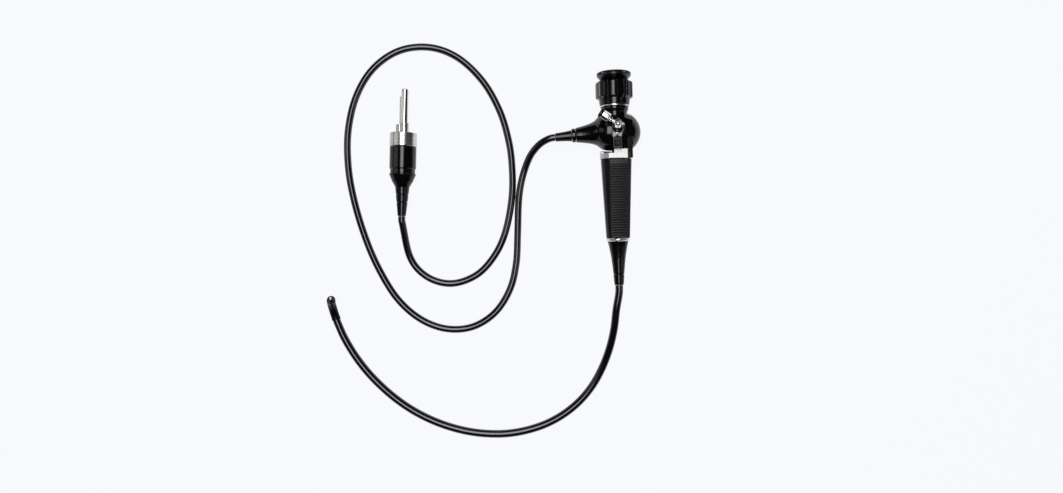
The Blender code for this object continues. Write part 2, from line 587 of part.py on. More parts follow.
def thumb_pad(swing, low, high):
    """A ribbed rubber cap pushed over the lever's end."""
    inside = LEVER_HALF_WIDTH - PAD_WALL + GAP
    outside = LEVER_HALF_WIDTH + 0.5 * MM
    start = LEVER_REACH - PAD_LENGTH + GAP
    pitch = (PAD_LENGTH - 1.5 * MM) / PAD_RIBS
    points = [(inside, start), (outside, start)]
    for i in range(PAD_RIBS):
        foot = start + 0.8 * MM + i * pitch
        points += [(outside, foot), (outside + 0.5 * MM, foot + 0.3 * MM), (outside + 0.5 * MM, foot + pitch / 2),
                   (outside, foot + pitch / 2 + 0.3 * MM)]
    points += [(outside - 0.8 * MM, LEVER_REACH + GAP + PAD_WALL), (0.8 * MM - outside, LEVER_REACH + GAP + PAD_WALL),
               (-outside, LEVER_REACH), (-outside, start), (-inside, start),
               (-inside, LEVER_REACH - PAD_WALL + GAP), (inside, LEVER_REACH - PAD_WALL + GAP)]
    bm = bmesh.new()
    face = bm.faces.new([bm.verts.new((low, y, z)) for y, z in points])
    made = bmesh.ops.extrude_face_region(bm, geom=[face])
    moved = [item for item in made["geom"] if isinstance(item, bmesh.types.BMVert)]
    bmesh.ops.translate(bm, vec=(high - low, 0, 0), verts=moved)
    add("thumb_pad", bm, rubber_black(), swing)


def pull_wires(body):
    centre = WIRE_DRUM_RADIUS - WIRE_DRUM_GROOVE + GAP + WIRE_RADIUS
    groove_middle = (WIRE_DRUM_CHEEK + WIRE_DRUM_LENGTH / 2) / 2
    near = WIRE_DRUM_LEFT + groove_middle
    far = WIRE_DRUM_LEFT + WIRE_DRUM_LENGTH - groove_middle
    for name, side, x in (("pull_wire_up", 1, near), ("pull_wire_down", -1, far)):
        add(name, rod_mesh(WIRE_RADIUS, DRUM_CENTRE, WIRE_END, 8), bright_steel(), body, (x, side * centre, 0))


def image_bundle(body):
    """The coherent fibre bundle from the ferrule, past the drum, down to the boot."""
    start = EYEPIECE_TUBE_END + 2 * GAP
    aside = -3.2 * MM
    points = [(0, start), (0, start + 8 * MM), (aside, DRUM_CENTRE - 5 * MM), (aside, DRUM_CENTRE + 8 * MM),
              (-1.6 * MM, DRUM_CENTRE + 24 * MM), (-1.6 * MM, BODY_LENGTH - 24 * MM)]
    tube("image_bundle", [Vector((x, 0, z)) for x, z in points], BUNDLE_RADIUS, 2, satin_black(), body)


def tube(name, points, radius, resolution, mat, parent=None):
    """A round cord along a polyline, with closed ends."""
    curve = bpy.data.curves.new(name, "CURVE")
    curve.dimensions = "3D"
    curve.bevel_depth = radius
    curve.bevel_resolution = resolution
    curve.use_fill_caps = True
    spline = curve.splines.new("POLY")
    spline.points.add(len(points) - 1)
    for target, point in zip(spline.points, points):
        target.co = (*point, 1)
    curve.materials.append(mat)
    obj = bpy.data.objects.new(name, curve)
    bpy.context.collection.objects.link(obj)
    obj.parent = parent
    return obj


GRIP_TOP_OUTLINE = [(-7.2, 11.2), (11.2, 11.2), (13.7, 7.6), (13.7, -5.0), (10.6, -10.6), (4.2, -12.8),
                    (-4.2, -12.8), (-10.6, -10.6), (-13.7, -5.0), (-13.7, 4.4), (-11.4, 8.6)]
GRIP_END_OUTLINE = [(-7.2, 8.8), (9.4, 8.8), (10.4, 6.8), (10.4, -4.0), (8.2, -8.2), (3.2, -9.8),
                    (-3.2, -9.8), (-8.2, -8.2), (-10.4, -4.0), (-10.4, 3.6), (-9.0, 6.8)]


def outline(points, grow=0.0):
    """An outline in millimetres as metres, moved outwards by an offset."""
    return [tuple(Vector(point) * MM + Vector(point).normalized() * grow) for point in points]


def chassis_band(body, bell):
    """The silver band between body and grip: the end of the metal chassis, open beside the lever."""
    section = outline(GRIP_TOP_OUTLINE, BAND_PROUD)
    inner = outline(GRIP_TOP_OUTLINE, -BAND_WALL)
    band = add("chassis_band", loft_mesh([(section, BAND_TOP), (section, BAND_END)]), brushed_steel(), body)
    fit_to_drum(band, body, bell)
    bore = loft_mesh([(inner, BAND_TOP - MM), (inner, BAND_END + MM)])
    slot = block_mesh((PLATE_END, -CLEAR, BAND_TOP - MM), (CLEAR, CLEAR, BAND_END + MM))
    step = block_mesh((-CLEAR, 0, BAND_TOP - MM), (BAND_STEP_X, CLEAR, BAND_TOP + BAND_STEP))
    for name, shape in (("band_bore", bore), ("band_slot", slot), ("band_step", step)):
        boolean(band, tool(name, shape, body), "DIFFERENCE")


def grip(body):
    top = BAND_END + GAP
    shell = add("grip_shell", loft_mesh([(outline(GRIP_TOP_OUTLINE), top), (outline(GRIP_END_OUTLINE), GRIP_END)]),
                satin_black(), body)
    bore = profile_mesh([(GRIP_BORE_TOP, top - MM), (GRIP_BORE_END, GRIP_END + MM)], False, ROUND)
    boolean(shell, tool("grip_bore", bore, body), "DIFFERENCE")
    bevel = shell.modifiers.new("edges", "BEVEL")
    bevel.width = 0.5 * MM
    bevel.segments = 1
    bevel.limit_method = "ANGLE"
    bevel.angle_limit = math.radians(20)
    grip_panel(body, top)
    ring_start = GRIP_END + GAP
    ring_end = ring_start + GRIP_RING_LENGTH
    turned("grip_ring", [(GRIP_BORE_END, ring_start), (GRIP_RING_RADIUS - 0.3 * MM, ring_start),
                         (GRIP_RING_RADIUS, ring_start + 0.4 * MM), (GRIP_RING_RADIUS, ring_end - 0.6 * MM),
                         (GRIP_RING_RADIUS - 0.5 * MM, ring_end), (GRIP_BORE_END, ring_end)],
           bright_steel(), body, closed=True)
    boot_start = ring_end + GAP
    length = BODY_LENGTH - boot_start
    outer = [(BOOT_TOP_RADIUS, 0.0), (8.6 * MM, 0.11 * length), (7.3 * MM, 0.28 * length), (5.95 * MM, 0.53 * length),
             (5.15 * MM, 0.735 * length), (4.75 * MM, 0.75 * length), (4.75 * MM, 0.765 * length),
             (5.05 * MM, 0.775 * length), (BOOT_END_RADIUS + 0.2 * MM, 0.965 * length),
             (BOOT_END_RADIUS - 0.1 * MM, 0.975 * length), (BOOT_END_RADIUS, length)]
    profile = [(radius, boot_start + along) for radius, along in outer]
    turned("insertion_boot", profile + [(BOOT_BORE, BODY_LENGTH), (BOOT_BORE + 3.0 * MM, boot_start)],
           rubber_black(), body, closed=True)


def grip_panel(body, top):
    """The ribbed front panel, drawn as a comb and spread to the panel's tapering width."""
    start, end = top + PANEL_MARGIN, GRIP_END - PANEL_MARGIN
    slope = (GRIP_END_OUTLINE[0][1] - GRIP_TOP_OUTLINE[0][1]) * MM / (GRIP_END - top)

    def front(along):
        return GRIP_TOP_OUTLINE[0][1] * MM + slope * (along - top) + GAP

    points = [(start, front(start)), (start, front(start) + PANEL_THICKNESS)]
    ribs = int((end - start - PANEL_PLAIN - MM) / RIB_PITCH)
    for i in range(ribs):
        foot = start + PANEL_PLAIN + i * RIB_PITCH
        floor = front(foot) + PANEL_THICKNESS
        points += [(foot, floor), (foot + 0.25 * MM, floor + RIB_HEIGHT),
                   (foot + RIB_WIDTH - 0.25 * MM, floor + RIB_HEIGHT), (foot + RIB_WIDTH, floor)]
    points += [(end, front(end) + PANEL_THICKNESS), (end, front(end))]
    bm = bmesh.new()
    face = bm.faces.new([bm.verts.new((0, height, along)) for along, height in points])
    made = bmesh.ops.extrude_face_region(bm, geom=[face])
    right = {item for item in made["geom"] if isinstance(item, bmesh.types.BMVert)}
    for vert in bm.verts:
        share = (vert.co.z - start) / (end - start)
        if vert in right:
            vert.co.x = PANEL_RIGHT_TOP + (PANEL_RIGHT_END - PANEL_RIGHT_TOP) * share
        else:
            vert.co.x = PANEL_LEFT_TOP + (PANEL_LEFT_END - PANEL_LEFT_TOP) * share
    add("grip_panel", bm, rubber_black(), body)


def port_frame(body):
    """The port's axis: z runs up and towards the eyepiece."""
    return frame("port_frame", Matrix.Translation((0, PORT_BASE, PORT_CENTRE))
                 @ Matrix.Rotation(-math.pi / 2 - PORT_LEAN, 4, "X"), body)


def port(body, bell, lean):
    """The instrument port: a seat on the drum's front, a collar, and a stopcock with its side inlet."""
    seat = turned("port_seat", [(PORT_BORE, PORT_SEAT_FOOT), (PORT_SEAT_RADIUS, PORT_SEAT_FOOT),
                                (PORT_SEAT_RADIUS, PORT_SEAT_HEIGHT - 0.6 * MM),
                                (PORT_SEAT_RADIUS - 0.6 * MM, PORT_SEAT_HEIGHT), (PORT_BORE, PORT_SEAT_HEIGHT)],
                  bright_steel(), lean, closed=True)
    fit_to_drum(seat, body, bell)
    collar_start = PORT_SEAT_HEIGHT + GAP
    collar_end = collar_start + PORT_COLLAR_HEIGHT
    turned("port_seal", [(PORT_BORE, collar_start), (PORT_COLLAR_RADIUS, collar_start),
                         (PORT_COLLAR_RADIUS, collar_end - MM), (PORT_COLLAR_RADIUS - MM, collar_end),
                         (PORT_BORE, collar_end)], rubber_black(), lean, closed=True)
    start = collar_end + GAP
    stopcock(lean, start)


def stopcock(lean, start):
    end = start + STOPCOCK_HEIGHT
    middle = (start + end) / 2
    turn_in_body = Matrix.Rotation(math.pi / 2 + PORT_LEAN, 4, "X")
    inlet = frame("inlet_frame", Matrix.Translation((0, 0, middle)) @ turn_in_body
                  @ Matrix.Rotation(math.pi + INLET_HEADING, 4, "Y"), lean)
    shape = [(STOPCOCK_RADIUS * 0.72, start), (STOPCOCK_RADIUS, start + 1.3 * MM), (STOPCOCK_RADIUS, end - 1.3 * MM),
             (STOPCOCK_RADIUS * 0.72, end)]
    knuckle = turned("stopcock_body", shape, bright_steel(), lean)
    neck_start = STOPCOCK_RADIUS * 0.5
    flange = LUER_NUT_START + 1.2 * MM
    pipe = [(INLET_NECK_RADIUS, neck_start), (INLET_NECK_RADIUS, flange), (INLET_FLANGE_RADIUS, flange),
            (INLET_FLANGE_RADIUS, flange + 1.4 * MM), (INLET_NECK_RADIUS, flange + 1.4 * MM),
            (INLET_NECK_RADIUS, INLET_LENGTH)]
    boolean(knuckle, tool("inlet_pipe", profile_mesh(pipe, False, SMALL_ROUND), inlet), "UNION")
    hole = 1.0 * MM
    boolean(knuckle, tool("inlet_hole", rod_mesh(hole, INLET_LENGTH - 4 * MM, INLET_LENGTH + MM), inlet), "DIFFERENCE")
    luer_fitting(inlet, flange, hole)
    plug_axis = frame("stopcock_axis", Matrix.Translation((0, 0, end)), lean)
    plug_seat = tool("plug_seat", rod_mesh(PLUG_RADIUS + GAP, end - 3.4 * MM, end + MM), lean)
    boolean(knuckle, plug_seat, "DIFFERENCE")
    stopcock_handle(plug_axis)


def luer_fitting(inlet, flange, hole):
    start = LUER_NUT_START
    end = start + LUER_NUT_LENGTH
    neck_clear = INLET_NECK_RADIUS + GAP
    profile = [(neck_clear, start), (LUER_NUT_RADIUS - 0.5 * MM, start), (LUER_NUT_RADIUS, start + 0.6 * MM),
               (LUER_NUT_RADIUS, end - 0.6 * MM), (LUER_NUT_RADIUS - 0.5 * MM, end), (INLET_FLANGE_RADIUS + GAP, end),
               (INLET_FLANGE_RADIUS + GAP, flange - GAP), (neck_clear, flange - GAP)]
    turned("luer_nut", profile, bright_steel(), inlet, closed=True, steps=2 * LUER_NUT_FLAT_COUNT)
    cap_start = end + GAP
    cap_end = cap_start + INLET_CAP_THICKNESS
    mouth = INLET_LENGTH
    profile = [(0, mouth - INLET_PLUG_LENGTH), (hole - GAP, mouth - INLET_PLUG_LENGTH), (hole - GAP, mouth + GAP),
               (INLET_FLANGE_RADIUS, mouth + GAP), (INLET_FLANGE_RADIUS, cap_start),
               (INLET_CAP_RADIUS, cap_start), (INLET_CAP_RADIUS, cap_end - 0.7 * MM),
               (INLET_CAP_RADIUS - 0.7 * MM, cap_end), (0, cap_end)]
    turned("inlet_cap", profile, rubber_black(), inlet)


def stopcock_handle(axis):
    plug = turned("stopcock_handle", [(0, -3.0 * MM), (PLUG_RADIUS, -3.0 * MM), (PLUG_RADIUS, GAP), (2.2 * MM, GAP),
                                      (2.2 * MM, GAP + HANDLE_THICKNESS), (0, GAP + HANDLE_THICKNESS)],
                  bright_steel(), axis, steps=SMALL_ROUND)
    swing = frame("handle_rest", Matrix.Rotation(HANDLE_ANGLE, 4, "Z"), axis)
    arm = block_mesh((0, -0.9 * MM, GAP), (HANDLE_REACH, 0.9 * MM, GAP + HANDLE_THICKNESS))
    boolean(plug, tool("handle_arm", arm, swing), "UNION")
    ball = bmesh.new()
    bmesh.ops.create_uvsphere(ball, u_segments=12, v_segments=8, radius=1.5 * MM)
    boolean(plug, tool("handle_ball", ball, swing, (HANDLE_REACH, 0, GAP + HANDLE_THICKNESS / 2)), "UNION")


def suction_button(body, bell, lean):
    """A sprung push button in a framed block between the port and the band."""
    half_x, half_z = BUTTON_FRAME_WIDTH / 2, BUTTON_FRAME_LENGTH / 2
    block = add("button_frame", block_mesh((-half_x, 4 * MM, BUTTON_CENTRE - half_z),
                                           (half_x, BUTTON_FRAME_TOP, BUTTON_CENTRE + half_z)), gloss_black(), body)
    well_x = half_x - BUTTON_FRAME_WALL
    well_start = BUTTON_CENTRE - half_z + BUTTON_FRONT_WALL
    well_end = BUTTON_CENTRE + half_z - BUTTON_FRAME_WALL
    well = block_mesh((-well_x, BUTTON_FLOOR, well_start), (well_x, BUTTON_FRAME_TOP + MM, well_end))
    fit_to_drum(block, body, bell)
    band_front = GRIP_TOP_OUTLINE[0][1] * MM + BAND_PROUD
    over_band = block_mesh((-CLEAR, 0, BAND_TOP - GAP), (CLEAR, band_front + GAP, BAND_END))
    behind = tool("button_behind", over_band, body)
    round_seat = rod_mesh(PORT_SEAT_RADIUS + GAP, PORT_SEAT_FOOT - MM, PORT_SEAT_HEIGHT, ROUND)
    beside_seat = tool("button_seat_clear", round_seat, lean)
    for cutter in (behind, beside_seat, tool("button_well", well, body)):
        boolean(block, cutter, "DIFFERENCE")
    key_low = BUTTON_FRAME_TOP + BUTTON_STAND - BUTTON_THICKNESS
    key = block_mesh((GAP - well_x, key_low, well_start + GAP),
                     (well_x - GAP, BUTTON_FRAME_TOP + BUTTON_STAND, well_end - GAP))
    button = add("suction_button", key, satin_black(), body)
    bevel = button.modifiers.new("edges", "BEVEL")
    bevel.width = 0.5 * MM
    bevel.segments = 2
    length = key_low - BUTTON_FLOOR - 2 * GAP - 2 * SPRING_WIRE
    steps = 8 * SPRING_TURNS
    turns = [Vector((SPRING_RADIUS * math.cos(math.tau * i / 8), SPRING_RADIUS * math.sin(math.tau * i / 8),
                     length * i / steps)) for i in range(steps + 1)]
    foot = Matrix.Translation((0, BUTTON_FLOOR + GAP + SPRING_WIRE, BUTTON_CENTRE + SPRING_OFFSET))
    stand = frame("spring_frame", foot @ Matrix.Rotation(-math.pi / 2, 4, "X"), body)
    tube("button_spring", turns, SPRING_WIRE, 0, bright_steel(), stand)


def smooth_route(points, count):
    """Even points on a smooth curve through the route's own points."""
    padded = [2 * points[0] - points[1], *points, 2 * points[-1] - points[-2]]
    fine = []
    for a, b, c, d in zip(padded, padded[1:], padded[2:], padded[3:]):
        for i in range(12):
            t = i / 12
            fine.append(0.5 * (2 * b + (c - a) * t + (2 * a - 5 * b + 4 * c - d) * t * t
                               + (3 * b - a - 3 * c + d) * t ** 3))
    fine.append(points[-1])
    runs = [0.0]
    for a, b in zip(fine, fine[1:]):
        runs.append(runs[-1] + (b - a).length)
    even = []
    at = 0
    for i in range(count + 1):
        want = runs[-1] * i / count
        while at < len(runs) - 2 and runs[at + 1] < want:
            at += 1
        share = (want - runs[at]) / (runs[at + 1] - runs[at])
        even.append(fine[at].lerp(fine[at + 1], min(share, 1.0)))
    return even


def cable_side(bell):
    """Collar, strain relief and the cable itself, out of the bell's end."""
    collar_start = BELL_LENGTH + GAP
    collar_end = collar_start + COLLAR_LENGTH - GAP
    turned("cable_collar", [(BELL_BORE, collar_start), (COLLAR_RADIUS - COLLAR_EDGE, collar_start),
                            (COLLAR_RADIUS, collar_start + COLLAR_EDGE), (COLLAR_RADIUS, collar_end - COLLAR_EDGE),
                            (COLLAR_RADIUS - COLLAR_EDGE, collar_end), (BELL_BORE, collar_end)],
           gloss_black(), bell, closed=True)
    relief_start = collar_end + GAP
    relief_end = relief_start + RELIEF_LENGTH
    third = RELIEF_LENGTH / 3
    turned("strain_relief", [(RELIEF_TOP_RADIUS, relief_start), (4.6 * MM, relief_start + third),
                             (4.15 * MM, relief_start + 2 * third), (RELIEF_END_RADIUS, relief_end),
                             (BOOT_BORE, relief_end), (BOOT_BORE, relief_start)], rubber_black(), bell, closed=True)
    start = bell_point(relief_end + GAP)
    lead = bell_point(relief_end + 3 * MM)
    tail = connector_matrix() @ Vector((0, 0, -CONNECTOR_BOOT_END - GAP))
    lead_in = connector_matrix() @ Vector((0, 0, -CONNECTOR_BOOT_END - 4 * MM))
    route = [lead] + [Vector(point) * MM for point in CABLE_ROUTE] + [lead_in]
    tube("light_guide_cable", [start, *smooth_route(route, CABLE_STEPS), tail], CABLE_RADIUS, 2, rubber_black())


def bell_point(along):
    """A point on the bell's axis in the part's own frame."""
    return Vector((BODY_X - along * math.cos(BELL_TILT),
                   BODY_LENGTH / 2 - DRUM_CENTRE - along * math.sin(BELL_TILT), AXIS_HEIGHT))


def connector_matrix():
    """The connector's frame: z runs out of its front, y is up."""
    return (Matrix.Translation(CONNECTOR_FRONT) @ Matrix.Rotation(CONNECTOR_HEADING, 4, "Z")
            @ Matrix.Rotation(-math.pi / 2, 4, "X") @ Matrix.Rotation(math.pi, 4, "Z"))


def connector():
    base = frame("connector_frame", connector_matrix())
    inner = CONNECTOR_RING_RADIUS - CONNECTOR_RING_WALL
    ring_end = -CONNECTOR_RING_LENGTH
    turned("connector_ring", [(inner, 0), (CONNECTOR_RING_RADIUS - 0.5 * MM, 0), (CONNECTOR_RING_RADIUS, -0.5 * MM),
                              (CONNECTOR_RING_RADIUS, ring_end + 0.4 * MM),
                              (CONNECTOR_RING_RADIUS - 0.4 * MM, ring_end), (inner, ring_end)],
           brushed_steel(), base, closed=True)
    body_start = ring_end - GAP
    body_end = -CONNECTOR_BODY_END
    groove = CONNECTOR_BODY_RADIUS - 0.8 * MM
    turned("connector_body", [(CONNECTOR_BODY_RADIUS, body_start), (CONNECTOR_BODY_RADIUS, body_end + 4.4 * MM),
                              (groove, body_end + 4.0 * MM), (groove, body_end), (5.0 * MM, body_end),
                              (5.0 * MM, body_start)], gloss_black(), base, closed=True)
    boot_start = body_end - GAP
    shoulder, end = -CONNECTOR_BOOT_SHOULDER, -CONNECTOR_BOOT_END
    outer = [(CONNECTOR_BODY_RADIUS, boot_start), (CONNECTOR_BODY_RADIUS - 0.5 * MM, boot_start - 2 * MM),
             (9.7 * MM, boot_start - 7.2 * MM), (7.5 * MM, shoulder + 1.8 * MM), (6.6 * MM, shoulder)]
    span = shoulder - end
    for share in (0.26, 0.52):
        radius = 6.6 * MM - (6.6 * MM - RELIEF_END_RADIUS) * share
        middle = shoulder - span * share
        outer += [(radius + 0.1 * MM, middle + 0.6 * MM), (radius - 0.35 * MM, middle + 0.3 * MM),
                  (radius - 0.35 * MM, middle - 0.3 * MM), (radius - 0.05 * MM, middle - 0.6 * MM)]
    outer += [(RELIEF_END_RADIUS, end)]
    turned("connector_boot", outer + [(BOOT_BORE, end), (BOOT_BORE + 2 * MM, boot_start)], rubber_black(), base,
           closed=True)
    plate_radius = inner - GAP
    plate_front = -PLATE_RECESS
    plate = add("connector_plate", rod_mesh(plate_radius, ring_end + MM, plate_front, ROUND), brushed_steel(), base)
    stand = COLLAR_STAND + plate_front
    prong_collar = tool("prong_collar", rod_mesh(PRONG_COLLAR_RADIUS, plate_front - MM, stand, 24), base,
                        PRONG_OFFSET)
    pin_collar = tool("pin_collar", rod_mesh(PIN_COLLAR_RADIUS, plate_front - MM, stand - 0.6 * MM, 24), base,
                      PIN_COLLAR_OFFSET)
    prong_hole = tool("prong_hole", rod_mesh(PRONG_RADIUS + GAP, ring_end - MM, stand + MM, 24), base,
                      PRONG_OFFSET)
    pin_hole = tool("pin_hole", rod_mesh(PIN_RADIUS + GAP, ring_end - MM, stand + MM), base, PIN_OFFSET)
    boolean(plate, prong_collar, "UNION")
    boolean(plate, pin_collar, "UNION")
    boolean(plate, prong_hole, "DIFFERENCE")
    boolean(plate, pin_hole, "DIFFERENCE")
    turned("light_prong", [(0, ring_end + MM), (PRONG_RADIUS, ring_end + MM),
                           (PRONG_RADIUS, PRONG_LENGTH - 0.5 * MM), (PRONG_RADIUS - 0.5 * MM, PRONG_LENGTH),
                           (PRONG_BORE, PRONG_LENGTH), (PRONG_BORE, PRONG_LENGTH - 1.2 * MM),
                           (0, PRONG_LENGTH - 1.2 * MM)], bright_steel(), base, PRONG_OFFSET, steps=24)
    turned("locating_pin", [(0, ring_end + MM), (PIN_RADIUS, ring_end + MM), (PIN_RADIUS, PIN_LENGTH - 0.5 * MM),
                            (PIN_RADIUS - 0.5 * MM, PIN_LENGTH), (0, PIN_LENGTH)],
           bright_steel(), base, PIN_OFFSET, steps=SMALL_ROUND)


def bend_matrix():
    """The tube's end: z along the tube, and a turn about x bends towards the camera side."""
    along = Vector((-math.sin(BEND_HEADING), math.cos(BEND_HEADING), 0))
    across = Vector((math.cos(BEND_HEADING), math.sin(BEND_HEADING), 0))
    towards = Vector((0, 0, 1)) * math.cos(BEND_LEAN) + across * math.sin(BEND_LEAN)
    axis = along.cross(towards)
    turn = Matrix((axis, -towards, along)).transposed().to_4x4()
    return Matrix.Translation(BEND_START) @ turn


def link_mesh(start, back):
    """A bending link: a ring from start, with outer ears at its front and, where it has them, inner ears behind."""
    end = BEND_PITCH - LINK_END_GAP
    inner_ear, outer_ear = LINK_BORE + LINK_LAYER, LINK_RADIUS - LINK_LAYER
    profile = [(LINK_BORE, start), (inner_ear, start), (LINK_RADIUS, start),
               (LINK_RADIUS, end), (outer_ear, end), (LINK_BORE, end)]
    bm = profile_mesh(profile, True, LINK_SIDES)
    pull_ears(bm, end, (outer_ear, LINK_RADIUS), 1)
    if back:
        pull_ears(bm, start, (LINK_BORE, inner_ear), -1)
    return bm


def pull_ears(bm, height, radii, way):
    """Pulls two ears out of one end of the ring, either side of the pivot line."""
    middle = sum(radii) / 2
    tolerance = LINK_LAYER / 4

    def on_ear(face):
        centre = face.calc_center_median()
        beside = abs(math.atan2(centre.y, abs(centre.x))) < math.radians(24)
        return abs(centre.z - height) < tolerance and beside and abs(centre.xy.length - middle) < tolerance

    for reach, narrow in ((LINK_END_GAP + EAR_REACH * 0.5, 1.0), (EAR_REACH * 0.5, 0.6)):
        faces = [face for face in bm.faces if on_ear(face)]
        made = bmesh.ops.extrude_face_region(bm, geom=faces)
        verts = [item for item in made["geom"] if isinstance(item, bmesh.types.BMVert)]
        bmesh.ops.delete(bm, geom=faces, context="FACES_ONLY")
        bmesh.ops.translate(bm, vec=(0, 0, way * reach), verts=verts)
        bmesh.ops.scale(bm, vec=(1, narrow, 1), verts=verts)
        height += way * reach


def pivot_tools(name, target, parent, holes_at=None, pins_at=None):
    """Cuts the rivet holes in the outer ears and sets the rivets on the inner ears."""
    inner_ear = LINK_BORE + LINK_LAYER
    for side in (-1, 1):
        turn = (0, side * math.pi / 2, 0)
        if holes_at is not None:
            hole = rod_mesh(PIVOT_HOLE, LINK_RADIUS - 2 * LINK_LAYER, LINK_RADIUS + MM, 8)
            boolean(target, tool(f"{name}_hole_{side}", hole, parent, (0, 0, holes_at), turn), "DIFFERENCE")
        if pins_at is not None:
            pin = rod_mesh(PIVOT_RADIUS, inner_ear - LINK_LAYER / 2, LINK_RADIUS - 0.05 * MM, 6)
            boolean(target, tool(f"{name}_pin_{side}", pin, parent, (0, 0, pins_at), turn), "UNION")


def bending_section():
    """The ferrule, the riveted links, the rubber over them and the tip, each hung on the one before."""
    start = frame("bend_start", bend_matrix())
    first = FERRULE_REACH
    ferrule = add("bend_ferrule", link_mesh(BEND_PITCH - first, False), bright_steel(), start,
                  (0, 0, first - BEND_PITCH))
    pivot_tools("ferrule", ferrule, start, holes_at=first)
    parent = start
    offset = first
    for i in range(1, BEND_JOINTS):
        axis = frame(f"bend_axis_{i}", Matrix.Translation((0, 0, offset)) @ Matrix.Rotation(BEND_REST, 4, "X"), parent)
        link = add(f"link_{i}", link_mesh(LINK_END_GAP, True), bright_steel(), axis)
        pivot_tools(f"link_{i}", link, axis, holes_at=BEND_PITCH, pins_at=0)
        parent, offset = axis, BEND_PITCH
    last = frame(f"bend_axis_{BEND_JOINTS}", Matrix.Translation((0, 0, BEND_PITCH))
                 @ Matrix.Rotation(BEND_REST, 4, "X"), parent)
    distal_tip(last)
    bending_cover(start)


def distal_tip(axis):
    """The rigid tip, riveted to the last link, with its lenses and the instrument channel's mouth."""
    neck = LINK_END_GAP
    shoulder = LINK_END_GAP + 1.0 * MM
    inner_ear = LINK_BORE + LINK_LAYER
    core = [(LINK_BORE, neck), (inner_ear, neck), (LINK_RADIUS, neck), (LINK_RADIUS, shoulder), (TIP_RADIUS, shoulder),
            (TIP_RADIUS, TIP_LENGTH - 0.5 * MM), (TIP_RADIUS - 0.5 * MM, TIP_LENGTH),
            (INSTRUMENT_HOLE * 0.4, TIP_LENGTH), (INSTRUMENT_HOLE * 0.4, shoulder), (LINK_BORE, shoulder)]
    bm = profile_mesh(core, True, LINK_SIDES)
    pull_ears(bm, neck, (LINK_BORE, inner_ear), -1)
    tip = add("distal_tip", bm, satin_black(), axis)
    pivot_tools("tip", tip, axis, pins_at=0)
    seats = [("objective_lens", 0.0, 1.5 * MM, LENS_RADIUS),
             ("light_lens_left", -2.2 * MM, -0.5 * MM, LIGHT_LENS_RADIUS),
             ("light_lens_right", 2.2 * MM, -0.5 * MM, LIGHT_LENS_RADIUS)]
    for name, x, y, radius in seats:
        seat = rod_mesh(radius + GAP / 2, TIP_LENGTH - LENS_DEPTH, TIP_LENGTH + MM, 16)
        boolean(tip, tool(f"{name}_seat", seat, axis, (x, y, 0)), "DIFFERENCE")
        lens = rod_mesh(radius, TIP_LENGTH - LENS_DEPTH + GAP / 2, TIP_LENGTH - 0.1 * MM, 16)
        add(name, lens, lens_glass(), axis, (x, y, 0))
    mouth = rod_mesh(INSTRUMENT_HOLE, shoulder - MM, TIP_LENGTH + MM, 16)
    boolean(tip, tool("channel_mouth", mouth, axis, (0, -1.6 * MM, 0)), "DIFFERENCE")


def swept_mesh(stations, radius):
    """A round bar through a row of placed circles, with its ends filled."""
    bm = bmesh.new()
    hoops = []
    for station in stations:
        made = bmesh.ops.create_circle(bm, segments=LINK_SIDES, radius=radius, matrix=station)
        hoops.append(list({edge for vert in made["verts"] for edge in vert.link_edges}))
    for near, far in zip(hoops, hoops[1:]):
        bmesh.ops.bridge_loops(bm, edges=near + far)
    bmesh.ops.holes_fill(bm, edges=[edge for edge in bm.edges if edge.is_boundary])
    return bm


def bending_cover(start):
    """The rubber sleeve from the tube's end, round the bend and on to the tip's shoulder."""
    half = BEND_PITCH / 2
    radius = half / math.tan(BEND_REST / 2)
    bend_from = FERRULE_REACH - half
    steps = BEND_JOINTS
    total = BEND_REST * BEND_JOINTS
    centre = Vector((0, -radius, bend_from))
    stations = []
    for i in range(steps + 1):
        turn = Matrix.Rotation(total * i / steps, 4, "X")
        stations.append(Matrix.Translation(centre) @ turn @ Matrix.Translation((0, radius, 0)))
    straight = LINK_END_GAP + MM - half - GAP
    stations.append(stations[-1] @ Matrix.Translation((0, 0, max(straight, GAP / 2))))
    cover = add("bending_cover", swept_mesh(stations, RUBBER_RADIUS), rubber_black(), start)
    past_ends = [stations[0] @ Matrix.Translation((0, 0, -MM)), *stations[1:-1],
                 stations[-1] @ Matrix.Translation((0, 0, MM))]
    boolean(cover, tool("cover_bore", swept_mesh(past_ends, RUBBER_RADIUS - RUBBER_WALL), start), "DIFFERENCE")


def insertion_tube():
    start = Vector((BODY_X, -BODY_LENGTH / 2 - GAP, AXIS_HEIGHT))
    lead = start + Vector((0, -3 * MM, 0))
    end = bend_matrix() @ Vector((0, 0, -GAP))
    lead_in = bend_matrix() @ Vector((0, 0, -4 * MM))
    route = [lead] + [Vector(point) * MM for point in TUBE_ROUTE] + [lead_in]
    tube("insertion_tube", [start, *smooth_route(route, TUBE_STEPS), end], TUBE_RADIUS, 3, rubber_black())


def main():
    clear_scene()
    body = body_frame()
    bell = bell_frame(body)
    eyepiece(body)
    diopter_ring(body)
    neck(body, bell)
    control_housing(body, bell)
    side_plate(body)
    angulation_lever(body)
    pull_wires(body)
    image_bundle(body)
    chassis_band(body, bell)
    grip(body)
    lean = port_frame(body)
    port(body, bell, lean)
    suction_button(body, bell, lean)
    cable_side(bell)
    connector()
    bending_section()
    insertion_tube()


main()
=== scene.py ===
"""A flexible fibre endoscope on a pale table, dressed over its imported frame."""
import math

import bmesh
import bpy
from mathutils import Matrix, Vector


